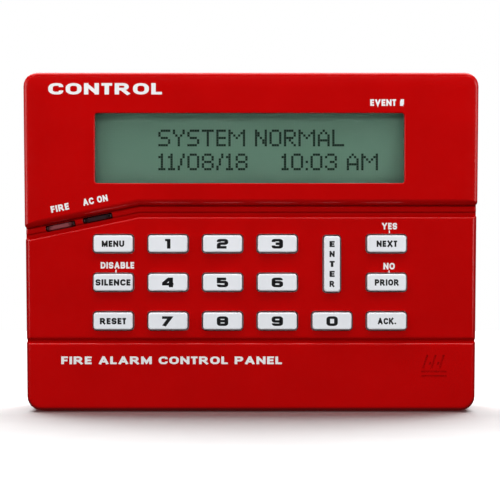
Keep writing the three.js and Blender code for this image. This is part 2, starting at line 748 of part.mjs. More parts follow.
function addOnBoard(name, body, material, x, z) {
  add(name, body, material, [x, BOARD_REAR + GAP, z]);
}

addOnBoard('sounder', sounder(), BLACK_PLASTIC, SOUNDER.x, SOUNDER.z);
addOnBoard('microcontroller', microcontroller(), BLACK_PLASTIC,
  MICROCONTROLLER.x, MICROCONTROLLER.z);
addOnBoard('crystal', crystal(), TIN, CRYSTAL.x, CRYSTAL.z);
addOnBoard('voltage_regulator', voltageRegulator(), BLACK_PLASTIC, REGULATOR.x, REGULATOR.z);
CAPACITOR_PLACES.forEach(([x, z], number) => {
  addOnBoard(`capacitor_${number + 1}`, capacitor(), CAN_SLEEVE, x, z);
});
addOnBoard('terminal_block', terminalBlock(), TERMINAL_GREEN, TERMINAL.x, TERMINAL.z);
addOnBoard('address_header', addressHeader(), BLACK_PLASTIC, HEADER.x, HEADER.z);

KEYS.forEach(({ name, size, x, z }) => {
  add(`key_${name}`, keyBody(size), KEY_PLASTIC, [x, 0, z]);
});

export default panel;
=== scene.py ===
"""The looks of a wall-mounted fire alarm control panel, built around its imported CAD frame.

Lengths in the helpers are millimetres and become metres where a mesh is made. Outlines are drawn
in the front view as (x, z), counter-clockwise as seen from the front, which is -Y.
"""

import math

import bpy
import bmesh
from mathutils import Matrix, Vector


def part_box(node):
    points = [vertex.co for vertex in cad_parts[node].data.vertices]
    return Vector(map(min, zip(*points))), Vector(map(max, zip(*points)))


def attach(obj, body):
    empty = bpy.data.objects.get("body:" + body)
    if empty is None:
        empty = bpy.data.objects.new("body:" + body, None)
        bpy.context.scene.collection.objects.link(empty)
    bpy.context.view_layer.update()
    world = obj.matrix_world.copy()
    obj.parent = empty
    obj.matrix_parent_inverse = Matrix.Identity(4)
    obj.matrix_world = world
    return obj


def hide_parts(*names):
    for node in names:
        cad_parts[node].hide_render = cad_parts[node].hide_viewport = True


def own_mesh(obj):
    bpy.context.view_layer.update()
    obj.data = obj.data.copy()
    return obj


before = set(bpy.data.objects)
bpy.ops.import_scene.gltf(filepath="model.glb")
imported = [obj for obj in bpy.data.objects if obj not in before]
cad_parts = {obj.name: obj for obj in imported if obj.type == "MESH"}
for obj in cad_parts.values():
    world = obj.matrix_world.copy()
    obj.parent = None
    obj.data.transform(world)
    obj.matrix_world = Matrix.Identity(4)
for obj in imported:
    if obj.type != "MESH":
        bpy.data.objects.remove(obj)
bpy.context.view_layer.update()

MM = 0.001
CASE_BODY = "front_case"
PLATE_BODY = "back_plate"


# ---- Places from the frame ------------------------------------------------------------------

def span(node):
    """Lowest and highest corner of a CAD node, in millimetres."""
    low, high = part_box(node)
    return low / MM, high / MM


def centre(node):
    low, high = span(node)
    return (low + high) / 2


def stands_for(piece, node, slot_name):
    """The piece is shown in place of a CAD node, which is hidden; the slot name is not used."""
    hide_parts(node)


HOUSING_LOW, HOUSING_HIGH = span("front_housing")
CASE_TOP = HOUSING_HIGH.z
CASE_BOTTOM = HOUSING_LOW.z
CASE_REAR = HOUSING_HIGH.y
DISPLAY_FACE = HOUSING_LOW.y
HALF_WIDTH_TOP = HOUSING_HIGH.x
TAPER = 1.2
HALF_WIDTH_BOTTOM = HALF_WIDTH_TOP - TAPER
CORNER_RADIUS = 5.0
END_RADIUS = 1.0
KNEE_RADIUS = 2.0
WALL = 2.6
KEYPAD_FACE = DISPLAY_FACE + 2.2
STRIP_FACE = DISPLAY_FACE + 3.2
GROOVE_FLOOR = DISPLAY_FACE + 4.2
CHANNEL_INNER = DISPLAY_FACE + 5.8
FRONT_WALL = 2.5
DISPLAY_INNER = DISPLAY_FACE + FRONT_WALL
KEYPAD_INNER = KEYPAD_FACE + FRONT_WALL

KNEE_X = -39.4
CHANNEL_SLOPE = math.radians(11.6)
CHANNEL_TOP = 12.4
CHANNEL_BOTTOM = 9.2
KEYPAD_TOP = CHANNEL_BOTTOM + 0.45
GROOVE_TOP = 10.55
STRIP_INSET = 0.2
STRIP_RADIUS = 0.5
STRIP_TOP = CHANNEL_TOP + 0.25
DISPLAY_FOOT = CHANNEL_TOP + 0.5
V_GROOVE_Z = -34.85
V_GROOVE_HALF = 0.01

WINDOW_RECESS = centre("display_window")
WINDOW_SIZE = (108.8, 24.6)
KEY_NAMES = [node for node in sorted(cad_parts) if node.startswith("key_")]
KEY_OVERHANG = 1.1
KEY_CLEARANCE = 0.45
SHARPEST_BEND = 0.03


# ---- Outlines -------------------------------------------------------------------------------

def rounded(corners, inset=0.0, steps=6):
    """Points of a closed outline with rounded corners, each corner an (x, z, radius).

    A positive inset moves the edges inwards. It is one number, or one for each edge, where
    edge n runs from corner n to the next.
    """
    points = []
    count = len(corners)
    insets = inset if isinstance(inset, (list, tuple)) else [inset] * count
    for number, (x, z, radius) in enumerate(corners):
        here = Vector((x, z))
        before = here - Vector(corners[number - 1][:2])
        after = Vector(corners[(number + 1) % count][:2]) - here
        before.normalize()
        after.normalize()
        inward_before = Vector((-before.y, before.x))
        inward_after = Vector((-after.y, after.x))
        overlap = inward_before.dot(inward_after)
        shrink_before, shrink_after = insets[number - 1], insets[number]
        share = 1.0 - overlap * overlap
        if share < 1e-6:
            here = here + inward_before * shrink_before
        else:
            push_before = (shrink_before - overlap * shrink_after) / share
            push_after = (shrink_after - overlap * shrink_before) / share
            here = here + inward_before * push_before + inward_after * push_after
        turn = math.atan2(before.x * after.y - before.y * after.x, before.dot(after))
        side = math.copysign(1.0, turn)
        shrink = (shrink_before + shrink_after) / 2
        bend = max(radius - side * shrink, SHARPEST_BEND)
        start = here - before * (bend * math.tan(abs(turn) / 2))
        middle = start + inward_before * (bend * side)
        arm = start - middle
        for step in range(steps + 1):
            angle = turn * step / steps
            cosine, sine = math.cos(angle), math.sin(angle)
            points.append(middle + Vector((
                arm.x * cosine - arm.y * sine,
                arm.x * sine + arm.y * cosine,
            )))
    return points


def rectangle(width, height, radius, x=0.0, z=0.0, tilt=0.0):
    """The four corners of a rounded rectangle, for rounded()."""
    corners = []
    for right, up in ((1, 1), (-1, 1), (-1, -1), (1, -1)):
        dx = right * width / 2
        dz = up * height / 2
        corners.append((
            x + dx * math.cos(tilt) - dz * math.sin(tilt),
            z + dx * math.sin(tilt) + dz * math.cos(tilt),
            radius,
        ))
    return corners


def half_width(z):
    share = (z - CASE_BOTTOM) / (CASE_TOP - CASE_BOTTOM)
    return HALF_WIDTH_BOTTOM + share * (HALF_WIDTH_TOP - HALF_WIDTH_BOTTOM)


def along_channel(x, z):
    """Height at x of a line that follows the channel and is at z on its level part."""
    return z - max(0.0, KNEE_X - x) * math.tan(CHANNEL_SLOPE)


def case_corners(inset=0.0):
    top = CASE_TOP - inset
    bottom = CASE_BOTTOM + inset
    radius = CORNER_RADIUS - inset
    right_top = half_width(top) - inset
    right_bottom = half_width(bottom) - inset
    return [
        (right_top, top, radius), (-right_top, top, radius),
        (-right_bottom, bottom, radius), (right_bottom, bottom, radius),
    ]


def display_corners():
    right = half_width(DISPLAY_FOOT)
    left_end = along_channel(-right, DISPLAY_FOOT)
    return [
        (right, DISPLAY_FOOT, END_RADIUS),
        (HALF_WIDTH_TOP, CASE_TOP, CORNER_RADIUS),
        (-HALF_WIDTH_TOP, CASE_TOP, CORNER_RADIUS),
        (-half_width(left_end), left_end, END_RADIUS),
        (KNEE_X, DISPLAY_FOOT, KNEE_RADIUS),
    ]


def keypad_corners():
    right = half_width(KEYPAD_TOP)
    left_end = along_channel(-right, KEYPAD_TOP)
    low = V_GROOVE_Z - V_GROOVE_HALF
    return [
        (right, KEYPAD_TOP, END_RADIUS),
        (KNEE_X, KEYPAD_TOP, KNEE_RADIUS),
        (-half_width(left_end), left_end, END_RADIUS),
        (-half_width(low), low, END_RADIUS),
        (half_width(low), low, END_RADIUS),
    ]


def band_corners():
    high = V_GROOVE_Z + V_GROOVE_HALF
    return [
        (half_width(high), high, END_RADIUS),
        (-half_width(high), high, END_RADIUS),
        (-HALF_WIDTH_BOTTOM, CASE_BOTTOM, CORNER_RADIUS),
        (HALF_WIDTH_BOTTOM, CASE_BOTTOM, CORNER_RADIUS),
    ]


def strip_corners():
    """The raised strip in the channel."""
    right = half_width(STRIP_TOP) - STRIP_INSET
    top_left = along_channel(-right, STRIP_TOP)
    left = -half_width(top_left) + STRIP_INSET
    return [
        (right, GROOVE_TOP, STRIP_RADIUS),
        (right, STRIP_TOP, STRIP_RADIUS),
        (KNEE_X, STRIP_TOP, KNEE_RADIUS),
        (left, along_channel(left, STRIP_TOP), STRIP_RADIUS),
        (left, along_channel(left, GROOVE_TOP), STRIP_RADIUS),
        (KNEE_X, GROOVE_TOP, KNEE_RADIUS),
    ]


# ---- Mesh helpers ---------------------------------------------------------------------------

SHARP_ANGLE = math.radians(35.0)
SAME_POINT = 1e-4


def finish_mesh(name, bm, material, body=None, sharp=SHARP_ANGLE):
    """Turns a bmesh in millimetres into a smooth-shaded object whose hard edges stay sharp."""
    bmesh.ops.remove_doubles(bm, verts=bm.verts, dist=SAME_POINT)
    bmesh.ops.scale(bm, vec=(MM, MM, MM), verts=bm.verts)
    mesh = bpy.data.meshes.new(name)
    bm.to_mesh(mesh)
    bm.free()
    piece = bpy.data.objects.new(name, mesh)
    bpy.context.scene.collection.objects.link(piece)
    if material is not None:
        mesh.materials.append(material)
    mesh.shade_smooth()
    mesh.set_sharp_from_angle(angle=sharp)
    if body is not None:
        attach(piece, body)
    return piece


def add_loft(bm, rings):
    """Adds a closed body through rings of (points, y), from the rear ring to the front ring."""
    rows = [[bm.verts.new((point.x, y, point.y)) for point in points] for points, y in rings]
    count = len(rows[0])
    for rear, front in zip(rows, rows[1:]):
        for first in range(count):
            second = (first + 1) % count
            bm.faces.new((rear[first], rear[second], front[second], front[first]))
    bm.faces.new(rows[-1])
    bm.faces.new(list(reversed(rows[0])))


def loft(name, rings, material=None, body=None, sharp=SHARP_ANGLE):
    bm = bmesh.new()
    add_loft(bm, rings)
    return finish_mesh(name, bm, material, body, sharp)


def profile_rings(corners, profile, steps=6):
    """Rings of one outline for a list of (inset, y)."""
    return [(rounded(corners, inset, steps), y) for inset, y in profile]


def combined(target, other, operation):
    """Joins another object to the target, or cuts it away, and removes the other object."""
    change = target.modifiers.new("change", "BOOLEAN")
    change.operation = operation
    change.solver = "MANIFOLD"
    change.object = other
    bpy.context.view_layer.update()
    evaluated = target.evaluated_get(bpy.context.evaluated_depsgraph_get())
    mesh = bpy.data.meshes.new_from_object(evaluated)
    target.modifiers.remove(change)
    old = target.data
    target.data = mesh
    bpy.data.meshes.remove(old)
    bpy.data.objects.remove(other)


FLAT_ANGLE = math.radians(0.05)
AREA_WEIGHT = 90


def shade_by_area(piece):
    """Keeps flat faces flat beside their fillets."""
    weighted = piece.modifiers.new("face area shading", "WEIGHTED_NORMAL")
    weighted.keep_sharp = True
    return weighted


def soften(piece):
    """Merges coplanar faces after the cuts, and shades by area."""
    bm = bmesh.new()
    bm.from_mesh(piece.data)
    bmesh.ops.remove_doubles(bm, verts=bm.verts, dist=SAME_POINT * MM)
    bmesh.ops.dissolve_limit(bm, angle_limit=FLAT_ANGLE, verts=bm.verts, edges=bm.edges)
    bm.to_mesh(piece.data)
    bm.free()
    piece.data.shade_smooth()
    piece.data.set_sharp_from_angle(angle=SHARP_ANGLE)
    shade_by_area(piece).weight = AREA_WEIGHT


# ---- Materials ------------------------------------------------------------------------------

def new_material(name):
    material = bpy.data.materials.new(name)
    material.use_nodes = True
    nodes = material.node_tree.nodes
    return material, nodes, material.node_tree.links, nodes["Principled BSDF"]


def object_noise(nodes, links, scale, detail=3.0, roughness=0.5):
    """Noise in the piece's own space, with scale in features for each metre."""
    place = nodes.new("ShaderNodeTexCoord")
    noise = nodes.new("ShaderNodeTexNoise")
    noise.inputs["Scale"].default_value = scale
    noise.inputs["Detail"].default_value = detail
    noise.inputs["Roughness"].default_value = roughness
    links.new(place.outputs["Object"], noise.inputs["Vector"])
    return noise.outputs["Fac"]


def calculated(nodes, links, operation, *values):
    """A Math node, each of whose values is a socket or a number."""
    step = nodes.new("ShaderNodeMath")
    step.operation = operation
    for place, value in zip(step.inputs, values):
        if isinstance(value, float):
            place.default_value = value
        else:
            links.new(value, place)
    return step.outputs["Value"]


def axes_of(nodes, links, space):
    """The X, Y and Z of a texture space, as sockets."""
    place = nodes.new("ShaderNodeTexCoord")
    split = nodes.new("ShaderNodeSeparateXYZ")
    links.new(place.outputs[space], split.inputs["Vector"])
    return split.outputs


def mixed(nodes, links, share, first, second):
    """A colour between two, each a socket or three numbers, by a share from 0 to 1."""
    mix = nodes.new("ShaderNodeMix")
    mix.data_type = "RGBA"
    links.new(share, mix.inputs["Factor"])
    for name, colour in (("A", first), ("B", second)):
        if isinstance(colour, tuple):
            mix.inputs[name].default_value = (*colour, 1.0)
        else:
            links.new(colour, mix.inputs[name])
    return mix.outputs["Result"]


def ramp_between(nodes, links, value, low, high, start=0.3, end=0.7):
    ramp = nodes.new("ShaderNodeMapRange")
    ramp.inputs["From Min"].default_value = start
    ramp.inputs["From Max"].default_value = end
    ramp.inputs["To Min"].default_value = low
    ramp.inputs["To Max"].default_value = high
    links.new(value, ramp.inputs["Value"])
    return ramp.outputs["Result"]


def colour_between(nodes, links, value, first, second, start=0.3, end=0.7):
    share = ramp_between(nodes, links, value, 0.0, 1.0, start, end)
    return mixed(nodes, links, share, first, second)


def add_bump(nodes, links, shader, height, distance, strength=1.0):
    bump = nodes.new("ShaderNodeBump")
    bump.inputs["Distance"].default_value = distance
    bump.inputs["Strength"].default_value = strength
    links.new(height, bump.inputs["Height"])
    links.new(bump.outputs["Normal"], shader.inputs["Normal"])


GLOSS_FINENESS = 9  # patches of gloss across one patch of colour


def moulded_plastic(name, first, second, rough=(0.3, 0.4), grain=5000.0, depth=0.004,
                    specular=0.5, metallic=0.0, patch=60.0, tint=(1.0, 1.0, 1.0)):
    """Plastic with a slow colour drift, uneven gloss and a fine moulded texture."""
    material, nodes, links, shader = new_material(name)
    drift = object_noise(nodes, links, patch, 2.0)
    links.new(colour_between(nodes, links, drift, first, second), shader.inputs["Base Color"])
    gloss = object_noise(nodes, links, patch * GLOSS_FINENESS, 4.0)
    links.new(ramp_between(nodes, links, gloss, *rough), shader.inputs["Roughness"])
    shader.inputs["Specular IOR Level"].default_value = specular
    shader.inputs["Specular Tint"].default_value = (*tint, 1.0)
    shader.inputs["Metallic"].default_value = metallic
    texture = object_noise(nodes, links, grain, 2.0, 0.6)
    add_bump(nodes, links, shader, texture, depth * MM)
    return material


RED_PLASTIC = moulded_plastic(
    "red_plastic", (0.50, 0.0006, 0.0008), (0.46, 0.0004, 0.0005), (0.15, 0.2), depth=0.0012,
    specular=0.5, tint=(1.0, 0.7, 0.7),
)
KEY_PLASTIC = moulded_plastic(
    "key_plastic", (0.86, 0.88, 0.92), (0.82, 0.84, 0.88), (0.34, 0.44), specular=0.4,
)
BLACK_INK = moulded_plastic(
    "black_ink", (0.006, 0.006, 0.007), (0.012, 0.012, 0.013), (0.5, 0.6), specular=0.2,
)
WHITE_INK = moulded_plastic(
    "white_ink", (0.86, 0.86, 0.86), (0.80, 0.80, 0.80), (0.5, 0.6), specular=0.3,
)
PLATE_PLASTIC = moulded_plastic(
    "plate_plastic", (0.028, 0.028, 0.03), (0.04, 0.04, 0.042), (0.5, 0.65), 3000.0, 0.02,
)


def light_bar_material(name, middle, ends):
    """Tinted plastic in its own middle colour, with painted shade that darkens it towards its
    ends, where the slot shades the bar.
    """
    material, nodes, links, shader = new_material(name)
    # Painted shade: from the middle outwards the colour darkens to the end colour, as shade falls
    # at the slot's ends, with streaks in it.
    across = axes_of(nodes, links, "Generated")["X"]
    offset = calculated(nodes, links, "SUBTRACT", across, 0.5)
    reach = calculated(nodes, links, "ABSOLUTE", offset)
    streaks = object_noise(nodes, links, 900.0, 2.0)
    edge = calculated(nodes, links, "MULTIPLY_ADD", streaks, 0.16, reach)
    tone_with_painted_shade = colour_between(nodes, links, edge, middle, ends, 0.3, 0.46)
    links.new(tone_with_painted_shade, shader.inputs["Base Color"])
    links.new(ramp_between(nodes, links, streaks, 0.16, 0.26), shader.inputs["Roughness"])
    return material


# The second colour of each bar is the painted shade at its ends.
LIGHT_ROSE = light_bar_material("light_rose", (0.30, 0.075, 0.085), (0.02, 0.003, 0.004))
LIGHT_DARK = light_bar_material("light_dark", (0.035, 0.016, 0.02), (0.006, 0.002, 0.003))
BLACK_MOULDING = moulded_plastic(
    "black_moulding", (0.016, 0.016, 0.017), (0.024, 0.024, 0.026), (0.35, 0.5), 6000.0, 0.01,
)
GREEN_MOULDING = moulded_plastic(
    "green_moulding", (0.02, 0.16, 0.06), (0.03, 0.2, 0.08), (0.35, 0.45), 5000.0, 0.006,
)
SILICONE = moulded_plastic(
    "grey_silicone", (0.30, 0.31, 0.32), (0.35, 0.36, 0.37), (0.55, 0.7), 2500.0, 0.01,
)
BACKLIGHT = moulded_plastic(
    "white_diffuser", (0.74, 0.77, 0.70), (0.80, 0.82, 0.76), (0.4, 0.5), 3500.0, 0.004,
)
LED_BODY = moulded_plastic(
    "pale_led", (0.70, 0.66, 0.50), (0.78, 0.75, 0.62), (0.2, 0.3), patch=900.0,
)
BEZEL_STEEL = moulded_plastic(
    "blackened_steel", (0.10, 0.10, 0.11), (0.14, 0.14, 0.15), (0.38, 0.5), 4000.0, 0.003,
    metallic=1.0,
)
SCREW_STEEL = moulded_plastic(
    "zinc_steel", (0.52, 0.52, 0.50), (0.62, 0.61, 0.56), (0.24, 0.36), 3000.0, 0.003,
    metallic=1.0, patch=300.0,
)
TIN = moulded_plastic(
    "tinned_metal", (0.66, 0.66, 0.67), (0.74, 0.74, 0.75), (0.2, 0.34), 5000.0, 0.003,
    metallic=1.0, patch=500.0,
)
CAN_SLEEVE = moulded_plastic(
    "blue_sleeve", (0.012, 0.02, 0.07), (0.018, 0.03, 0.10), (0.25, 0.35), 2500.0, 0.006,
    patch=200.0,
)


def board_material(name, mask, copper, track_scale):
    """Solder mask with copper tracks that turn at right angles under it."""
    material, nodes, links, shader = new_material(name)
    place = nodes.new("ShaderNodeTexCoord")
    tracks = nodes.new("ShaderNodeTexVoronoi")
    tracks.distance = "MANHATTAN"
    tracks.feature = "F2"
    tracks.inputs["Scale"].default_value = track_scale
    links.new(place.outputs["Object"], tracks.inputs["Vector"])
    wave = calculated(nodes, links, "PINGPONG", tracks.outputs["Distance"], 0.12)
    raised = ramp_between(nodes, links, wave, 0.0, 1.0, 0.055, 0.07)
    drift = object_noise(nodes, links, 50.0, 2.0)
    deeper = tuple(part * 0.75 for part in mask)
    resist = colour_between(nodes, links, drift, mask, deeper)
    links.new(mixed(nodes, links, raised, resist, copper), shader.inputs["Base Color"])
    gloss = object_noise(nodes, links, 500.0, 3.0)
    links.new(ramp_between(nodes, links, gloss, 0.22, 0.34), shader.inputs["Roughness"])
    add_bump(nodes, links, shader, raised, 0.03 * MM, 0.6)
    return material


MAIN_BOARD = board_material("main_board_mask", (0.01, 0.10, 0.035), (0.03, 0.22, 0.07), 140.0)
LCD_BOARD = board_material("display_board_mask", (0.012, 0.07, 0.03), (0.03, 0.16, 0.06), 220.0)


# ---- Camera, floor and light ----------------------------------------------------------------

VIEW_DISTANCE = 0.48
FRAME_WIDTH = 0.1755
VIEW_X = -0.00035
VIEW_Z = -0.0028
FLOOR_GAP = 0.4
FLOOR_HALF = 450.0
AMBIENT = 0.15
REFLECTED_AMBIENT = 0.02
# name, place, target, size and watts, all of them kept off the floor
CASE_LIGHTS = (
    ("front_light", (0.0, -0.85, 0.36), (0, -0.03, 0.01), (0.8, 0.10), 2.5),
    ("key_light", (0.0, -0.12, 0.34), (0, -0.03, 0.03), (0.5, 0.3), 1.5),
    ("left_light", (-0.36, -0.17, 0.10), (0, -0.03, 0.02), (0.2, 0.3), 0.26),
    ("right_light", (0.36, -0.17, 0.10), (0, -0.03, 0.02), (0.2, 0.3), 0.26),
    ("left_fill", (-0.42, -0.46, 0.08), (0, -0.03, 0.01), (0.16, 0.24), 0.42),
    ("right_fill", (0.42, -0.46, 0.08), (0, -0.03, 0.01), (0.16, 0.24), 0.42),
)
UNREFLECTED = ("front_light",)
FLOOR_LIGHT = ("floor_light", (0.0, 0.42, 0.9), (0, 0.1, 0), (1.6, 0.8), 26.0)


def build_camera():
    data = bpy.data.cameras.new("camera")
    data.sensor_width = 36.0
    data.lens = data.sensor_width * VIEW_DISTANCE / FRAME_WIDTH
    data.clip_start = 0.01
    camera = bpy.data.objects.new("camera", data)
    camera.location = (VIEW_X, DISPLAY_FACE * MM - VIEW_DISTANCE, VIEW_Z)
    camera.rotation_euler = (math.radians(90), 0, 0)
    bpy.context.scene.collection.objects.link(camera)
    bpy.context.scene.camera = camera


def area_light(name, place, target, size, power):
    data = bpy.data.lights.new(name, "AREA")
    data.shape = "RECTANGLE"
    data.size, data.size_y = size
    data.energy = power
    light = bpy.data.objects.new(name, data)
    light.location = place
    aim = Vector(target) - Vector(place)
    light.rotation_euler = aim.to_track_quat("-Z", "Y").to_euler()
    bpy.context.scene.collection.objects.link(light)
    return light


def build_floor():
    """A pale floor that catches the shadow but throws no light back onto the case."""
    bm = bmesh.new()
    bmesh.ops.create_grid(bm, x_segments=8, y_segments=8, size=FLOOR_HALF)
    for vertex in bm.verts:
        vertex.co.z = CASE_BOTTOM - FLOOR_GAP
    pale = moulded_plastic("pale_floor", (0.88, 0.88, 0.88), (0.86, 0.86, 0.86), (0.8, 0.9),
                           specular=0.0)
    floor = finish_mesh("floor", bm, pale)
    floor.visible_diffuse = False
    floor.visible_glossy = False
    return floor


def build_world():
    """White for the camera, dim as a light, and darker still in reflections."""
    world = bpy.data.worlds.new("studio")
    bpy.context.scene.world = world
    world.use_nodes = True
    nodes, links = world.node_tree.nodes, world.node_tree.links
    background = nodes["Background"]
    path = nodes.new("ShaderNodeLightPath")
    seen = calculated(
        nodes, links, "MULTIPLY_ADD", path.outputs["Is Diffuse Ray"], AMBIENT, REFLECTED_AMBIENT,
    )
    level = nodes.new("ShaderNodeMix")
    links.new(path.outputs["Is Camera Ray"], level.inputs["Factor"])
    links.new(seen, level.inputs["A"])
    level.inputs["B"].default_value = 1.0
    links.new(level.outputs["Result"], background.inputs["Strength"])
    background.inputs["Color"].default_value = (1, 1, 1, 1)


def leave_floor_out(light, floor):
    """Keeps a light that is meant for the case off the floor."""
    listed = bpy.data.collections.new(light.name + "_skips")
    listed.objects.link(floor)
    light.light_linking.receiver_collection = listed
    listed.collection_objects[0].light_linking.link_state = "EXCLUDE"


def build_studio():
    bpy.context.scene.view_settings.view_transform = "Standard"
    build_camera()
    floor = build_floor()
    build_world()
    for settings in CASE_LIGHTS:
        light = area_light(*settings)
        light.visible_glossy = settings[0] not in UNREFLECTED
        leave_floor_out(light, floor)
    area_light(*FLOOR_LIGHT)


# ---- Front housing --------------------------------------------------------------------------

FACE_Y = DISPLAY_FACE + 0.03
DRAFT_DEPTH = 1.0
CROWN_POWER = 1.6
# side draft, corner, crown width and crown drop of each raised section
DISPLAY_RIM = (0.15, 1.1, 4.2, 0.3)
KEYPAD_RIM = (0.7, 0.8, 0.8, 0.05)
STRIP_RIM = (0.05, 0.45, 0.05, 0.02)
# width and height of the curve along the display section's lower edges, edges 3 and 4
DISPLAY_ROLL = (2.5, 3.7)
DISPLAY_ROLL_EDGES = (3, 4)
CORNER_SHARES = (0.0, 0.04, 0.16, 0.34, 0.58, 0.8, 1.0)
ROLL_SHARES = (0.02, 0.08, 0.3, 0.45, 0.62, 0.8, 1.0)
CROWN_STEPS = 5
MOUTH_STEPS = 4
MOUTH_REACH = 2.0
CAVITY_OVERLAP = 1.0
CAVITY_STEP = 0.6
CAVITY_CLEARANCE = 2.0
CAVITY_CORNER = CORNER_RADIUS - WALL
CAVITY_BEND = 0.5
KEY_MOUTH = 0.22
KEY_HOLE_RADIUS = 1.4
LIGHT_MOUTH = 0.25
LIGHT_SLOT = (10.6, 2.1)
LIGHT_SLOT_RADIUS = 0.45
WINDOW_MOUTH = 0.35
WINDOW_RADIUS = 0.9


def rim_inset(depth, side, corner, crown, crown_drop):
    """How far an outer edge lies inside the outline at a depth below the face."""
    if depth >= crown_drop + corner:
        past = depth - crown_drop - corner
        return side * max(0.0, 1.0 - past / DRAFT_DEPTH)
    if depth >= crown_drop:
        rise = 1.0 - (depth - crown_drop) / corner
        return side + corner * (1.0 - math.sqrt(max(0.0, 1.0 - rise * rise)))
    return side + corner + crown * (1.0 - depth / crown_drop) ** CROWN_POWER


def rim_depths(corner, crown_drop):
    depths = [crown_drop * step / CROWN_STEPS for step in range(CROWN_STEPS)]
    depths += [crown_drop + corner * share for share in CORNER_SHARES]
    depths.append(crown_drop + corner + DRAFT_DEPTH)
    return depths


def block_rings(corners, face, rim, roll=None, roll_edges=()):
    """Rings of a section of the case; the edges in roll_edges go over in a wide curve."""
    side, corner, crown, crown_drop = rim
    depths = rim_depths(corner, crown_drop)
    if roll is not None:
        width, height = roll
        depths += [height * share for share in ROLL_SHARES]
    rings = [(rounded(corners), CASE_REAR)]
    for depth in sorted(set(depths), reverse=True):
        insets = [rim_inset(depth, side, corner, crown, crown_drop)] * len(corners)
        for edge in roll_edges:
            rise = max(0.0, 1.0 - depth / height)
            insets[edge] = width * (1.0 - math.sqrt(max(0.0, 1.0 - rise * rise)))
        rings.append((rounded(corners, insets), face + depth))
    return rings


def hole_profile(face, inner, flare):
    """(inset, y) pairs of a cutter whose mouth flares at the face with a round edge."""
    rows = [(0.0, inner + CAVITY_OVERLAP), (0.0, face + flare)]
    for step in range(1, MOUTH_STEPS + 1):
        angle = math.radians(90 * step / MOUTH_STEPS)
        rows.append((-flare * (1 - math.cos(angle)), face + flare * (1 - math.sin(angle))))
    rows.append((-flare, face - MOUTH_REACH))
    return rows


def key_cutters():
    bm = bmesh.new()
    profile = hole_profile(KEYPAD_FACE, KEYPAD_INNER, KEY_MOUTH)
    for node in KEY_NAMES:
        low, high = span(node)
        middle = (low + high) / 2
        grow = 2 * (KEY_CLEARANCE - KEY_OVERHANG)
        corners = rectangle(
            high.x - low.x + grow, high.z - low.z + grow, KEY_HOLE_RADIUS, middle.x, middle.z,
        )
        add_loft(bm, profile_rings(corners, profile, MOUTH_STEPS))
    return finish_mesh("key_cutters", bm, None)


def light_cutters():
    bm = bmesh.new()
    profile = hole_profile(STRIP_FACE, CHANNEL_INNER, LIGHT_MOUTH)
    for node in ("fire_light_pipe", "power_light_pipe"):
        middle = centre(node)
        corners = rectangle(
            *LIGHT_SLOT, LIGHT_SLOT_RADIUS, middle.x, middle.z, CHANNEL_SLOPE,
        )
        add_loft(bm, profile_rings(corners, profile, MOUTH_STEPS))
    return finish_mesh("light_cutters", bm, None)


def block_body(bm, low, high):
    points = [
        Vector((high[0], high[2])), Vector((low[0], high[2])),
        Vector((low[0], low[2])), Vector((high[0], low[2])),
    ]
    add_loft(bm, [(points, high[1]), (points, low[1])])


def circle(radius, x, z, count=24):
    return [
        Vector((x + radius * math.cos(2 * math.pi * n / count),
                z + radius * math.sin(2 * math.pi * n / count)))
        for n in range(count)
    ]


def add_section(housing, name, corners, face, *rim):
    combined(housing, loft(name, block_rings(corners, face, *rim)), "UNION")


def hollow(housing, name, corners, *profile):
    combined(housing, loft(name, profile_rings(corners, profile)), "DIFFERENCE")


def build_housing():
    housing = loft("front_case_shell", profile_rings(case_corners(), [
        (STRIP_INSET, CASE_REAR), (STRIP_INSET, GROOVE_FLOOR),
    ]), RED_PLASTIC)
    add_section(housing, "strip", strip_corners(), STRIP_FACE, STRIP_RIM)
    add_section(housing, "display_section", display_corners(), FACE_Y, DISPLAY_RIM,
                DISPLAY_ROLL, DISPLAY_ROLL_EDGES)
    add_section(housing, "keypad_section", keypad_corners(), KEYPAD_FACE, KEYPAD_RIM)
    add_section(housing, "bottom_band", band_corners(), KEYPAD_FACE, KEYPAD_RIM)

    overlap = CHANNEL_INNER + CAVITY_OVERLAP
    hollow(housing, "cavity", case_corners(WALL), (0.0, CAVITY_OVERLAP),
           (0.0, CHANNEL_INNER + CAVITY_STEP), (CAVITY_STEP, CHANNEL_INNER))
    hollow(housing, "display_cavity", display_inner_corners(),
           (0.0, overlap), (0.0, DISPLAY_INNER))
    hollow(housing, "keypad_cavity", keypad_inner_corners(),
           (0.0, overlap), (0.0, KEYPAD_INNER))
    window = rectangle(*WINDOW_SIZE, WINDOW_RADIUS, WINDOW_RECESS.x, WINDOW_RECESS.z)
    hollow(housing, "window_cutter", window, *hole_profile(FACE_Y, DISPLAY_INNER, WINDOW_MOUTH))
    combined(housing, key_cutters(), "DIFFERENCE")
    combined(housing, light_cutters(), "DIFFERENCE")
    combined(housing, edge_cutters(), "DIFFERENCE")
    combined(housing, boss_bodies(), "UNION")
    combined(housing, emblem_cutters(), "DIFFERENCE")
    soften(housing)
    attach(housing, CASE_BODY)
    stands_for(housing, "front_housing", "red_case")


# The emblem's shapes run down and to the right from the top left of its frame.
EMBLEM_LEFT = 59.75
EMBLEM_TOP = -39.7
EMBLEM_WIDTH = 9.5
EMBLEM_DEPTH = 0.42
EMBLEM_REACH = 1.0
EMBLEM_MARGIN = 0.3
SLANT_START = 0.4
SLANT_PITCH = 2.9
SLANT_COUNT = 3
LONG_SLANT = ((2.4, -0.2), (1.7, -0.2), (0.2, -4.9), (0.9, -4.9))
SHORT_SLANT = ((3.35, -2.7), (2.75, -2.7), (2.5, -3.6), (3.1, -3.6))
BAR_HEIGHT = 0.62
BAR_DROPS = (5.7, 7.3)


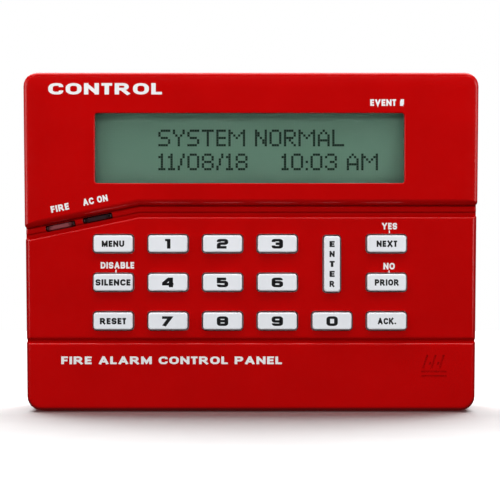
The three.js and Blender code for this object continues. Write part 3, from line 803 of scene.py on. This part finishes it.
def emblem_cutters():
    """Three slanted strokes with two short ones between them, over two level bars."""
    bm = bmesh.new()

    def cutter(x, z, shape):
        points = [Vector((x + right, z + up)) for right, up in shape]
        add_loft(bm, [(points, KEYPAD_FACE + EMBLEM_DEPTH), (points, KEYPAD_FACE - EMBLEM_REACH)])

    for number in range(SLANT_COUNT):
        x = EMBLEM_LEFT + SLANT_START + number * SLANT_PITCH
        cutter(x, EMBLEM_TOP, LONG_SLANT)
        if number < SLANT_COUNT - 1:
            cutter(x, EMBLEM_TOP, SHORT_SLANT)
    right = EMBLEM_WIDTH - EMBLEM_MARGIN
    bar = ((right, 0.0), (EMBLEM_MARGIN, 0.0), (EMBLEM_MARGIN, -BAR_HEIGHT), (right, -BAR_HEIGHT))
    for drop in BAR_DROPS:
        cutter(EMBLEM_LEFT, EMBLEM_TOP - drop, bar)
    return finish_mesh("emblem_cutters", bm, None)


def display_inner_corners():
    low = CHANNEL_TOP + CAVITY_CLEARANCE
    right = half_width(low) - WALL
    top = CASE_TOP - WALL
    return [
        (right, low, CAVITY_BEND), (right, top, CAVITY_CORNER), (-right, top, CAVITY_CORNER),
        (-right, along_channel(-right, low), CAVITY_BEND), (KNEE_X, low, 2 * CAVITY_BEND),
    ]


def keypad_inner_corners():
    high = CHANNEL_BOTTOM - CAVITY_CLEARANCE
    right = half_width(CASE_BOTTOM) - WALL
    bottom = CASE_BOTTOM + WALL
    return [
        (right, high, CAVITY_BEND), (KNEE_X, high, 2 * CAVITY_BEND),
        (-right, along_channel(-right, high), CAVITY_BEND),
        (-right, bottom, CAVITY_CORNER), (right, bottom, CAVITY_CORNER),
    ]


HINGE_X = 45
HINGE_HALF = 7
HINGE_POCKET_TOP = 58.6
HINGE_POCKET_DEPTHS = (-7.5, -1.8)
TAB_X = 40
TAB_HALF = 6
TAB_NOTCH_HEIGHT = 3.6
TAB_NOTCH_DEPTHS = (-6.2, 1.0)
CUT_PAST = 1.0


def edge_cutters():
    """Pockets for the hinge bars at the top and notches for the tabs at the bottom."""
    bm = bmesh.new()
    front, rear = HINGE_POCKET_DEPTHS
    notch_front, notch_rear = TAB_NOTCH_DEPTHS
    for sign in (-1, 1):
        x = sign * HINGE_X
        block_body(bm, (x - HINGE_HALF, front, CASE_TOP - WALL - CUT_PAST),
                   (x + HINGE_HALF, rear, HINGE_POCKET_TOP))
        x = sign * TAB_X
        block_body(bm, (x - TAB_HALF, notch_front, CASE_BOTTOM - CUT_PAST),
                   (x + TAB_HALF, notch_rear, CASE_BOTTOM + TAB_NOTCH_HEIGHT))
    return finish_mesh("edge_cutters", bm, None)


BOSS_GAP = 0.3
BOSS_RADIUS = 2.4
BOSS_ROOT_RADIUS = 2.6
BOSS_HOLE = 1.1
BOSS_HOLE_DEPTH = 5.0
BOSS_HOLE_TIP = 0.2
BOSS_HOLE_TIP_RADIUS = 0.5
BOSS_ROOT = 1.0
BOSS_CHAMFER = 0.2


def boss_bodies():
    """Bosses for the screws of the board and of the display module, each with its hole."""
    bm = bmesh.new()
    for node in sorted(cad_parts):
        if not node.startswith(("board_screw", "lcd_screw")):
            continue
        middle = centre(node)
        x, z = middle.x, middle.z
        inner = DISPLAY_INNER if z > CHANNEL_TOP else KEYPAD_INNER
        board = "main_board" if node.startswith("board") else "lcd_board"
        rear = span(board)[0].y - BOSS_GAP
        tip = rear - BOSS_HOLE_DEPTH
        add_loft(bm, [
            (circle(BOSS_HOLE_TIP_RADIUS, x, z), tip),
            (circle(BOSS_HOLE, x, z), tip + BOSS_HOLE_TIP),
            (circle(BOSS_HOLE, x, z), rear),
            (circle(BOSS_RADIUS, x, z), rear),
            (circle(BOSS_RADIUS + BOSS_CHAMFER / 2, x, z), rear - BOSS_CHAMFER),
            (circle(BOSS_ROOT_RADIUS, x, z), inner - BOSS_ROOT),
        ])
    return finish_mesh("bosses", bm, None)


# ---- Keys -----------------------------------------------------------------------------------

KEY_CAP_RADIUS = 1.0
KEY_FLANGE_RADIUS = 0.8
KEY_FLANGE_DEPTHS = (4.6, 5.6)
KEY_PLUNGER_INSET = 5.2
KEY_PLUNGER_RADIUS = 0.6
KEY_PLUNGER_CHAMFER = 0.2
KEY_SIDE_DRAFT = 0.06
KEY_EDGE = 0.42
KEY_EDGE_STEPS = 5
KEY_CROWN = (0.9, 0.02)
KEY_SHARP = math.radians(30.0)


def key_place(node):
    """Middle, width and height of a key's cap, without its flange."""
    low, high = span(node)
    width = high.x - low.x - 2 * KEY_OVERHANG
    height = high.z - low.z - 2 * KEY_OVERHANG
    return (low + high) / 2, width, height


def build_key(node):
    low, high = span(node)
    middle, width, height = key_place(node)
    face = low.y
    cap = rectangle(width, height, KEY_CAP_RADIUS, middle.x, middle.z)
    flange = rectangle(
        high.x - low.x, high.z - low.z, KEY_FLANGE_RADIUS, middle.x, middle.z,
    )
    plunger = rectangle(
        max(width - KEY_PLUNGER_INSET, width / 2), max(height - KEY_PLUNGER_INSET, height / 2),
        KEY_PLUNGER_RADIUS, middle.x, middle.z,
    )
    flange_front, flange_rear = (face + depth for depth in KEY_FLANGE_DEPTHS)
    rings = [
        (rounded(plunger, KEY_PLUNGER_CHAMFER), high.y),
        (rounded(plunger), high.y - KEY_PLUNGER_CHAMFER), (rounded(plunger), flange_rear),
        (rounded(flange), flange_rear), (rounded(flange), flange_front),
        (rounded(cap), flange_front),
    ]
    for step in range(KEY_EDGE_STEPS + 1):
        angle = math.radians(90 * step / KEY_EDGE_STEPS)
        rings.append((
            rounded(cap, KEY_SIDE_DRAFT + KEY_EDGE * (1 - math.cos(angle))),
            face + KEY_EDGE * (1 - math.sin(angle)),
        ))
    crown_inset, crown_drop = KEY_CROWN
    rings.append((rounded(cap, crown_inset), face + crown_drop))
    key = loft(node + "_cap", rings, KEY_PLASTIC, node, KEY_SHARP)
    stands_for(key, node, "key_plastic")


# ---- Display --------------------------------------------------------------------------------

DOT_LETTERS = {
    "S": (".####", "#....", "#....", ".###.", "....#", "....#", "####."),
    "Y": ("#...#", "#...#", ".#.#.", "..#..", "..#..", "..#..", "..#.."),
    "T": ("#####", "..#..", "..#..", "..#..", "..#..", "..#..", "..#.."),
    "E": ("####", "#...", "#...", "####", "#...", "#...", "####"),
    "M": ("#.....#", "##...##", "#.#.#.#", "#..#..#", "#.....#", "#.....#", "#.....#"),
    "N": ("#...#", "##..#", "##..#", "#.#.#", "#..##", "#..##", "#...#"),
    "O": (".###.", "#...#", "#...#", "#...#", "#...#", "#...#", ".###."),
    "R": ("####.", "#...#", "#...#", "####.", "#.#..", "#..#.", "#...#"),
    "A": ("..#..", ".#.#.", "#...#", "#...#", "#####", "#...#", "#...#"),
    "L": ("#....", "#....", "#....", "#....", "#....", "#....", "#####"),
    "0": (".###.", "#...#", "#...#", "#...#", "#...#", "#...#", ".###."),
    "1": (".#.", "##.", ".#.", ".#.", ".#.", ".#.", "###"),
    "3": (".###.", "#...#", "....#", "..##.", "....#", "#...#", ".###."),
    "8": (".###.", "#...#", "#...#", ".###.", "#...#", "#...#", ".###."),
    "/": ("..#", "..#", ".#.", ".#.", ".#.", "#..", "#.."),
    ":": (".", ".", ".", "#", ".", ".", "#"),
}
DOT_PITCH = 0.857
DOT_HALF = DOT_PITCH * 0.47
DOT_DEPTHS = (-0.03, 0.02)
TEXT_LEFT = -32.9
TEXT_ROWS = (
    (36.95, (("SYSTEM", 0), ("NORMAL", 40))),
    (28.45, (("11/08/18", 0), ("10:03", 51), ("AM", 78))),
)


def lit_dots():
    """Front-view centres of the lit dots of both text rows."""
    for middle_z, words in TEXT_ROWS:
        for word, column in words:
            for letter in word:
                rows = DOT_LETTERS[letter]
                for row, marks in enumerate(rows):
                    for across, mark in enumerate(marks):
                        if mark == "#":
                            yield (
                                TEXT_LEFT + (column + across + 0.5) * DOT_PITCH,
                                middle_z + (3 - row) * DOT_PITCH,
                            )
                column += len(rows[0]) + 1


def display_material():
    material, nodes, links, shader = new_material("display_green")
    drift = object_noise(nodes, links, 45.0, 2.0)
    grain = object_noise(nodes, links, 2600.0, 1.0)
    base = colour_between(nodes, links, drift, (0.088, 0.178, 0.128), (0.098, 0.19, 0.140))
    axes = axes_of(nodes, links, "Object")
    waves = []
    for axis in ("X", "Z"):
        turn = calculated(nodes, links, "MULTIPLY", axes[axis], 2 * math.pi / (DOT_PITCH * MM))
        waves.append(calculated(nodes, links, "COSINE", turn))
    raster = calculated(nodes, links, "MAXIMUM", *waves)
    share = ramp_between(nodes, links, raster, 0.0, 0.16, 0.7, 1.0)
    colour = mixed(nodes, links, share, base, (0.17, 0.29, 0.22))
    links.new(colour, shader.inputs["Base Color"])
    links.new(ramp_between(nodes, links, grain, 0.42, 0.6), shader.inputs["Roughness"])
    shader.inputs["Specular IOR Level"].default_value = 0.25
    return material


def window_material():
    material, nodes, links, shader = new_material("clear_window")
    haze = object_noise(nodes, links, 90.0, 3.0)
    shader.inputs["Base Color"].default_value = (0.99, 1.0, 0.99, 1.0)
    shader.inputs["Transmission Weight"].default_value = 1.0
    shader.inputs["IOR"].default_value = 1.12
    shader.inputs["Specular IOR Level"].default_value = 0.2
    links.new(ramp_between(nodes, links, haze, 0.0, 0.03), shader.inputs["Roughness"])
    return material


def build_display():
    for node, material in (
        ("lcd_glass", display_material()), ("display_window", window_material()),
    ):
        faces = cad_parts[node].data.materials
        faces.clear()
        faces.append(material)
    face = span("lcd_glass")[0].y
    front, rear = (face + depth for depth in DOT_DEPTHS)
    bm = bmesh.new()
    for x, z in lit_dots():
        block_body(bm, (x - DOT_HALF, front, z - DOT_HALF), (x + DOT_HALF, rear, z + DOT_HALF))
    ink = moulded_plastic("dot_black", (0.004, 0.012, 0.008), (0.008, 0.02, 0.012), (0.5, 0.6),
                          specular=0.1)
    finish_mesh("lit_dots", bm, ink, CASE_BODY)


# ---- Inside and back ------------------------------------------------------------------------

# node, material, record slot, edge rounding
ROUNDED_NODES = (
    ("back_plate", PLATE_PLASTIC, "plate_plastic", 0.35),
    ("lcd_bezel", BEZEL_STEEL, "bezel_metal", 0.25),
    ("lcd_backlight", BACKLIGHT, "backlight", 0.15),
    ("lcd_board", LCD_BOARD, "circuit_board", 0.12),
    ("lcd_header", BLACK_MOULDING, "black_plastic", 0.12),
    ("main_board", MAIN_BOARD, "circuit_board", 0.12),
    ("sounder", BLACK_MOULDING, "black_plastic", 0.4),
    ("microcontroller", BLACK_MOULDING, "black_plastic", 0.15),
    ("crystal", TIN, "tin", 0.7),
    ("voltage_regulator", BLACK_MOULDING, "black_plastic", 0.15),
    ("capacitor_1", CAN_SLEEVE, "can_sleeve", 0.4),
    ("capacitor_2", CAN_SLEEVE, "can_sleeve", 0.4),
    ("terminal_block", GREEN_MOULDING, "terminal_plastic", 0.2),
    ("address_header", BLACK_MOULDING, "black_plastic", 0.15),
    ("fire_led", LED_BODY, "led_body", 0.15),
    ("power_led", LED_BODY, "led_body", 0.15),
)
SMOOTH_JOIN = math.radians(0.5)
HARD_EDGE = math.radians(40)
ROUNDING_STEPS = 3


def build_rounded(node, material, slot_name, radius):
    """The node's own shape with every hard edge rounded over."""
    bm = bmesh.new()
    bm.from_mesh(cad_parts[node].data)
    bmesh.ops.scale(bm, vec=(1 / MM, 1 / MM, 1 / MM), verts=bm.verts)
    bmesh.ops.remove_doubles(bm, verts=bm.verts, dist=10 * SAME_POINT)
    bmesh.ops.dissolve_limit(bm, angle_limit=SMOOTH_JOIN, verts=bm.verts, edges=bm.edges)
    hard = [edge for edge in bm.edges
            if len(edge.link_faces) == 2 and edge.calc_face_angle() > HARD_EDGE]
    bmesh.ops.bevel(
        bm, geom=hard, offset=radius, offset_type="OFFSET", segments=ROUNDING_STEPS,
        profile=0.5, affect="EDGES", clamp_overlap=True,
    )
    body = PLATE_BODY if node == "back_plate" else CASE_BODY
    piece = finish_mesh(node + "_moulding", bm, material, body)
    shade_by_area(piece)
    stands_for(piece, node, slot_name)


# share of the head's radius, and millimetres from its top
HEAD_PROFILE = ((0.55, 0.0), (0.8, 0.12), (0.95, 0.4), (1.0, 0.8), (1.0, 1.4))
HEAD_DEPTH = 1.4
SHANK_SHARE = 0.5
THREAD_PITCH = 0.5
THREAD_ROOT = 0.82
THREAD_START = 0.3
THREAD_END = 0.8
CROSS_REACH = 0.62
CROSS_HALF = 0.13
CROSS_DEPTH = 0.75


def build_screw(node):
    """A pan-head screw whose head, towards the rear, has a cross recess."""
    low, high = span(node)
    x, z = centre(node).x, centre(node).z
    head = (high.x - low.x) / 2
    shank = SHANK_SHARE * head
    head_low = high.y - HEAD_DEPTH
    rings = [(circle(head * share, x, z), high.y - drop) for share, drop in HEAD_PROFILE]
    rings.append((circle(shank, x, z), head_low))
    for turn in range(int((head_low - low.y - THREAD_END) / THREAD_PITCH)):
        y = head_low - THREAD_START - turn * THREAD_PITCH
        rings.append((circle(shank, x, z), y))
        rings.append((circle(shank * THREAD_ROOT, x, z), y - THREAD_PITCH / 2))
    rings.append((circle(shank / 2, x, z), low.y))
    screw = loft(node + "_zinc", rings, SCREW_STEEL)
    arm, half = head * CROSS_REACH, head * CROSS_HALF
    for wide, tall in ((arm, half), (half, arm)):
        bm = bmesh.new()
        block_body(bm, (x - wide, high.y - CROSS_DEPTH, z - tall),
                   (x + wide, high.y + CUT_PAST, z + tall))
        combined(screw, finish_mesh("recess", bm, None), "DIFFERENCE")
    soften(screw)
    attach(screw, CASE_BODY)
    stands_for(screw, node, "tin")


MAT_THICKNESS = 1.0
MAT_RADIUS = 1.5
MAT_EDGE = 0.15
DOME_RADIUS = 1.4
DOME_INSETS = (3.4, 1.6)
DOME_LEAST = 3.0
# inset of the foot's outline, and share of the dome's rise
DOME_PROFILE = ((0.0, 0.0), (0.12, 0.18), (0.5, 0.5), (0.8, 0.68), (0.82, 0.94), (0.95, 1.0))


def build_mat():
    """The silicone sheet, and a dome for each key."""
    low, high = span("keypad_mat")
    front = high.y - MAT_THICKNESS
    middle = (low + high) / 2
    outline = rectangle(high.x - low.x, high.z - low.z, MAT_RADIUS, middle.x, middle.z)
    sheet = loft("keypad_mat_sheet", profile_rings(outline, [
        (MAT_EDGE, high.y), (0.0, high.y - MAT_EDGE), (0.0, front + MAT_EDGE), (MAT_EDGE, front),
    ]), SILICONE, CASE_BODY)
    stands_for(sheet, "keypad_mat", "silicone")
    rise = front - low.y
    for node in KEY_NAMES:
        key, width, height = key_place(node)
        foot = rectangle(
            max(width - DOME_INSETS[0], DOME_LEAST), max(height - DOME_INSETS[1], DOME_LEAST),
            DOME_RADIUS, key.x, key.z,
        )
        dome = loft("mat_dome_" + node[len("key_"):], profile_rings(foot, [
            (inset, front - rise * share) for inset, share in DOME_PROFILE
        ]), SILICONE)
        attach(dome, CASE_BODY)
        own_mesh(dome)


BAR_SIZE = (10.0, 1.5)
BAR_FLANGE = (11.4, 2.9)
BAR_RADIUS = 0.4
BAR_FLANGE_DEPTHS = (3.1, 3.9)
BAR_CHAMFER = 0.1
# inset and depth of the bar's rounded front edge
BAR_EDGE = ((0.0, 0.45), (0.06, 0.2), (0.2, 0.06), (0.4, 0.0))


def build_light_bar(node, material, slot_name):
    """A light pipe with a rounded bar in its slot and a flange behind the wall."""
    low, high = span(node)
    x, z = centre(node).x, centre(node).z
    face = low.y
    front, rear = (face + depth for depth in BAR_FLANGE_DEPTHS)
    bar = rectangle(*BAR_SIZE, BAR_RADIUS, x, z, CHANNEL_SLOPE)
    flange = rectangle(*BAR_FLANGE, BAR_RADIUS, x, z, CHANNEL_SLOPE)
    rings = profile_rings(bar, [(BAR_CHAMFER, high.y), (0.0, high.y - BAR_CHAMFER), (0.0, rear)])
    rings += profile_rings(flange, [(0.0, rear), (0.0, front)])
    rings += profile_rings(bar, [(0.0, front)])
    rings += profile_rings(bar, [(inset, face + depth) for inset, depth in BAR_EDGE])
    stands_for(loft(node + "_bar", rings, material, CASE_BODY), node, slot_name)


BOARD_FACE = span("main_board")[1].y
PART_GAP = 0.02
CHIP_PITCH = 0.8
CHIP_PINS = 11
CHIP_LEAD_REACH = 0.45
RESISTORS = [(x, z) for x in (-28.0, -22.0, -16.0, -10.0) for z in (14.0, 22.0, 30.0, 38.0)]
RESISTOR_HALF = 1.1
DIODES = [(62.0, z) for z in (-20.0, -12.0, -4.0, 4.0)]
DIODE_HALF = 2.2


def build_blocks(name, places, size, material, slot_name):
    """Small blocks of (width, depth, height) standing on the main board, towards the rear."""
    wide, deep, high = size
    front = BOARD_FACE + PART_GAP
    bm = bmesh.new()
    for x, z in places:
        block_body(bm, (x - wide / 2, front, z - high / 2),
                   (x + wide / 2, front + deep, z + high / 2))
    finish_mesh(name, bm, material, CASE_BODY)


def both_ends(places, reach):
    return [(x + side * reach, z) for x, z in places for side in (-1, 1)]


def build_board_details():
    """Chip leads, chip resistors with tinned ends, and diodes."""
    low, high = span("microcontroller")
    chip = (low + high) / 2
    reach = (high.x - low.x) / 2 + CHIP_LEAD_REACH
    offsets = [(number - (CHIP_PINS - 1) / 2) * CHIP_PITCH for number in range(CHIP_PINS)]
    sides = [(chip.x + side * reach, chip.z + step) for side in (-1, 1) for step in offsets]
    ends = [(chip.x + step, chip.z + side * reach) for side in (-1, 1) for step in offsets]
    tin = (TIN, "tin")
    black = (BLACK_MOULDING, "black_plastic")
    for name, places, size, finish in (
        ("chip_leads_sides", sides, (0.9, 0.35, 0.36), tin),
        ("chip_leads_ends", ends, (0.36, 0.35, 0.9), tin),
        ("chip_resistors", RESISTORS, (1.5, 0.6, 1.6), black),
        ("chip_resistor_ends", both_ends(RESISTORS, RESISTOR_HALF), (0.6, 0.64, 1.6), tin),
        ("diodes", DIODES, (3.6, 1.7, 2.2), black),
        ("diode_leads", both_ends(DIODES, DIODE_HALF), (0.7, 0.5, 1.4), tin),
    ):
        build_blocks(name, places, size, *finish)


def build_inside():
    for row in ROUNDED_NODES:
        build_rounded(*row)
    for node in sorted(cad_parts):
        if node.startswith(("board_screw", "lcd_screw")):
            build_screw(node)
    build_mat()
    build_light_bar("fire_light_pipe", LIGHT_ROSE, "light_rose")
    build_light_bar("power_light_pipe", LIGHT_DARK, "light_dark")
    build_board_details()


# ---- Lettering ------------------------------------------------------------------------------

INK = 0.02  # how far printed ink stands out of its face
# Half a stroke, as a share of the distance between a letter's top and bottom strokes.
WORD_WEIGHT = 0.165
TITLE_WEIGHT = 0.15
DIGIT_WEIGHT = 0.18

# Centre lines of each letter's strokes. The cap height is 1 plus a stroke. A third number is the
# radius of that corner, and an open end that stops on the line is pushed out by half a stroke.
LETTERS = {
    "A": [[(0, 0), (0.35, 1)], [(0.41, 1), (0.76, 0)], [(0.12, 0.28), (0.64, 0.28)]],
    "B": [[(0.3, 0), (0, 0), (0, 1), (0.3, 1)],
          [(0.25, 1), (0.64, 1, 0.22), (0.64, 0.52, 0.22), (0.2, 0.52)],
          [(0.2, 0.5), (0.7, 0.5, 0.24), (0.7, 0, 0.24), (0.25, 0)]],
    "C": [[(0.72, 0.7), (0.72, 1, 0.22), (0, 1, 0.36), (0, 0, 0.36), (0.72, 0, 0.22),
           (0.72, 0.3)]],
    "D": [[(0.3, 0), (0, 0), (0, 1), (0.3, 1)],
          [(0.25, 1), (0.72, 1, 0.4), (0.72, 0, 0.4), (0.25, 0)]],
    "E": [[(0.62, 1), (0, 1), (0, 0), (0.62, 0)], [(0, 0.5), (0.56, 0.5)]],
    "F": [[(0.6, 1), (0, 1), (0, 0)], [(0, 0.48), (0.54, 0.48)]],
    "I": [[(0, 0), (0, 1)]],
    "K": [[(0, 0), (0, 1)], [(0.66, 1), (0.1, 0.42)], [(0.24, 0.56), (0.7, 0)]],
    "L": [[(0, 1), (0, 0), (0.58, 0)]],
    "M": [[(0, 0), (0, 1)], [(0.9, 0), (0.9, 1)], [(0.04, 0.96), (0.45, 0.12), (0.86, 0.96)]],
    "N": [[(0, 0), (0, 1)], [(0.72, 0), (0.72, 1)], [(0.04, 0.92), (0.68, 0.08)]],
    "O": [[(0.4, 1), (0, 1, 0.36), (0, 0, 0.36), (0.4, 0)],
          [(0.35, 0), (0.78, 0, 0.36), (0.78, 1, 0.36), (0.35, 1)]],
    "P": [[(0, 0), (0, 1)], [(0, 1), (0.66, 1, 0.24), (0.66, 0.46, 0.24), (0, 0.46)]],
    "R": [[(0, 0), (0, 1)], [(0, 1), (0.66, 1, 0.24), (0.66, 0.46, 0.24), (0, 0.46)],
          [(0.36, 0.44), (0.7, 0)]],
    "S": [[(0.66, 0.72), (0.66, 1, 0.22), (0, 1, 0.23), (0, 0.5, 0.23), (0.66, 0.5, 0.23),
           (0.66, 0, 0.23), (0, 0, 0.22), (0, 0.28)]],
    "T": [[(0, 1), (0.74, 1)], [(0.37, 0.95), (0.37, 0)]],
    "U": [[(0, 1), (0, 0, 0.34), (0.7, 0, 0.34), (0.7, 1)]],
    "V": [[(0, 1), (0.36, 0), (0.72, 1)]],
    "X": [[(0, 0), (0.7, 1)], [(0, 1), (0.7, 0)]],
    "Y": [[(0, 1), (0.37, 0.42), (0.74, 1)], [(0.37, 0.5), (0.37, 0)]],
    "#": [[(0.16, 0), (0.3, 1)], [(0.5, 0), (0.64, 1)], [(0, 0.32), (0.8, 0.32)],
          [(0, 0.68), (0.8, 0.68)]],
    ".": [[(0, -0.16), (0, 0.16)]],
    "0": [[(0.4, 1), (0, 1, 0.2), (0, 0, 0.2), (0.4, 0)],
          [(0.35, 0), (0.74, 0, 0.2), (0.74, 1, 0.2), (0.35, 1)]],
    "1": [[(0.2, 0), (0.2, 1)], [(0.2, 1), (0, 1), (0, 0.86)]],
    "2": [[(0, 0.74), (0, 1, 0.12), (0.72, 1, 0.16), (0.72, 0.52, 0.16), (0, 0.52, 0.16),
           (0, 0), (0.74, 0)]],
    "3": [[(0, 0.74), (0, 1, 0.12), (0.72, 1, 0.16), (0.72, 0.5), (0.2, 0.5)],
          [(0.5, 0.5), (0.72, 0.5), (0.72, 0, 0.16), (0, 0, 0.12), (0, 0.26)]],
    "4": [[(0.58, 0), (0.58, 1)], [(0.58, 1), (0.42, 1), (0, 0.42), (0, 0.26), (0.8, 0.26)]],
    "5": [[(0.7, 1), (0, 1), (0, 0.56), (0.72, 0.56, 0.16), (0.72, 0, 0.16), (0, 0, 0.12),
           (0, 0.22)]],
    "6": [[(0.72, 0.8), (0.72, 1, 0.14), (0, 1, 0.18), (0, 0, 0.18), (0.74, 0, 0.16),
           (0.74, 0.54, 0.14), (0.05, 0.54)]],
    "7": [[(0, 1), (0.74, 1), (0.26, 0)]],
    "8": [[(0.4, 1), (0, 1, 0.18), (0, 0, 0.18), (0.4, 0)],
          [(0.35, 0), (0.74, 0, 0.18), (0.74, 1, 0.18), (0.35, 1)], [(0.05, 0.5), (0.7, 0.5)]],
    "9": [[(0.02, 0.2), (0.02, 0, 0.14), (0.74, 0, 0.18), (0.74, 1, 0.18), (0, 1, 0.16),
           (0, 0.46, 0.14), (0.69, 0.46)]],
}
LETTER_GAP = 0.17  # clear space between two letters' strokes
WORD_GAP = 0.6


def stroke_corners(line, half):
    """Corners of the closed outline around a bent stroke."""
    path = [Vector(point[:2]) for point in line]
    radii = [point[2] if len(point) > 2 else 0.0 for point in line]
    for end, other in ((0, 1), (-1, -2)):
        along = (path[end] - path[other]).normalized()
        if path[end].y in (0, 1) and abs(along.y) > 0.5:
            path[end] = path[end] + along * (half / abs(along.y))
    left, right = [], []
    for number, point in enumerate(path):
        sides = []
        if number > 0:
            step = (point - path[number - 1]).normalized()
            sides.append(Vector((-step.y, step.x)))
        if number < len(path) - 1:
            step = (path[number + 1] - point).normalized()
            sides.append(Vector((-step.y, step.x)))
        miter = sum(sides, Vector((0, 0)))
        reach = miter * (half * len(sides) / miter.length_squared)
        turn = sides[0].x * sides[-1].y - sides[0].y * sides[-1].x
        radius = radii[number]
        outer = radius + half if radius else 0.0
        inner = max(radius - half, SHARPEST_BEND) if radius else 0.0
        left.append((*(point + reach), inner if turn > 0 else outer))
        right.append((*(point - reach), outer if turn > 0 else inner))
    return right + left[::-1]


def letter_rows(words, half):
    """Strokes of a line of words as (stroke number, corners), and the width of the line."""
    across = 0.0
    rows = []
    for letter in words:
        if letter == " ":
            across += WORD_GAP
            continue
        strokes = [stroke_corners(line, half) for line in LETTERS[letter]]
        edges = [corner[0] for corners in strokes for corner in corners]
        shift = across - min(edges)
        for number, corners in enumerate(strokes):
            rows.append((number, [(x + shift, y, radius) for x, y, radius in corners]))
        across = shift + max(edges) + LETTER_GAP
    return rows, across - LETTER_GAP


def lettering(name, words, x, z, height, width, face, material, body, weight, tilt=0.0):
    """Printed words centred on (x, z), as one closed mesh a hair in front of a face."""
    rows, run = letter_rows(words, weight)
    stretch_x = width / run
    stretch_z = height / (1 + 2 * weight)
    cosine, sine = math.cos(tilt), math.sin(tilt)
    whole = None
    for turn in range(max(number for number, _ in rows) + 1):
        bm = bmesh.new()
        for number, corners in rows:
            if number != turn:
                continue
            points = []
            for point in rounded(corners, 0.0, 4):
                right = (point.x - run / 2) * stretch_x
                up = (point.y - 0.5) * stretch_z
                points.append(Vector((
                    x + right * cosine - up * sine, z + right * sine + up * cosine,
                )))
            add_loft(bm, [(points, face + INK), (points, face - INK)])
        layer = finish_mesh(name if whole is None else name + "_stroke", bm, material)
        if whole is None:
            whole = layer
        else:
            combined(whole, layer, "UNION")
    whole.data.shade_flat()
    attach(whole, body)
    return whole


TICK_HALF = 0.18


def tick(name, x, low, high):
    """A printed line from a word down to its key."""
    bm = bmesh.new()
    block_body(bm, (x - TICK_HALF, KEYPAD_FACE - INK, low),
               (x + TICK_HALF, KEYPAD_FACE + INK, high))
    finish_mesh(name, bm, WHITE_INK, CASE_BODY)


KEY_LEGENDS = {
    "menu": ("MENU", 7.9), "silence": ("SILENCE", 12.3), "reset": ("RESET", 9.2),
    "next": ("NEXT", 7.2), "prior": ("PRIOR", 8.5), "ack": ("ACK.", 6.5),
}
WORD_HEIGHT = 2.2
DIGIT_SIZE = (4.0, 3.4)
NARROW_DIGIT_WIDTH = 1.9
ENTER_LETTER = (1.8, 2.1)
ENTER_PITCH = 3.5
KEY_WORD_WEIGHT = 0.185
LEGEND_SINK = 0.01


def key_legend(node, name, words, height, width, weight, rise=0.0):
    """Printed words on a key, as far above its middle as rise says."""
    middle = centre(node)
    face = span(node)[0].y + INK + LEGEND_SINK
    piece = lettering(name, words, middle.x, middle.z + rise, height, width, face, BLACK_INK,
                      node, weight)


def build_key_legends():
    for node in KEY_NAMES:
        name = node[len("key_"):]
        if name == "enter":
            for number, letter in enumerate("ENTER"):
                key_legend(node, f"legend_enter_{number + 1}", letter, ENTER_LETTER[1],
                           ENTER_LETTER[0], KEY_WORD_WEIGHT, (2 - number) * ENTER_PITCH)
        elif name in KEY_LEGENDS:
            words, width = KEY_LEGENDS[name]
            key_legend(node, f"legend_{name}", words, WORD_HEIGHT, width, KEY_WORD_WEIGHT)
        else:
            width = NARROW_DIGIT_WIDTH if name == "1" else DIGIT_SIZE[0]
            key_legend(node, f"legend_{name}", name, DIGIT_SIZE[1], width, DIGIT_WEIGHT)


# name, words, x, z, cap height, width, on the display section, tilted with the channel
PANEL_LABELS = (
    ("label_title", "CONTROL", -51.2, 53.8, 4.0, 39.9, True, False),
    ("label_event", "EVENT #", 47.8, 48.95, 2.3, 11.9, True, False),
    ("label_fire", "FIRE", -67.1, 12.0, 2.3, 6.4, True, True),
    ("label_power", "AC ON", -54.7, 14.7, 2.3, 8.8, True, True),
    ("label_yes", "YES", 48.8, 5.6, 2.3, 5.4, False, False),
    ("label_no", "NO", 48.7, -8.5, 2.3, 4.0, False, False),
    ("label_disable", "DISABLE", -47.1, -8.2, 2.3, 11.8, False, False),
    ("label_bottom", "FIRE ALARM CONTROL PANEL", -28.0, -41.7, 2.7, 77.8, False, False),
)
TICKS = (("tick_yes", 48.8, 3.1, 4.1), ("tick_no", 48.7, -10.9, -10.0),
         ("tick_disable", -47.6, -10.9, -9.7))


def build_labels():
    for name, words, x, z, height, width, on_display, tilted in PANEL_LABELS:
        face = FACE_Y if on_display else KEYPAD_FACE
        tilt = CHANNEL_SLOPE if tilted else 0.0
        weight = TITLE_WEIGHT if name in ("label_title", "label_bottom") else WORD_WEIGHT
        piece = lettering(name, words, x, z, height, width, face, WHITE_INK, CASE_BODY,
                          weight, tilt)
    for row in TICKS:
        tick(*row)


# ---- Build ----------------------------------------------------------------------------------

build_studio()
build_housing()
for key_node in KEY_NAMES:
    build_key(key_node)
build_display()
build_inside()
build_key_legends()
build_labels()
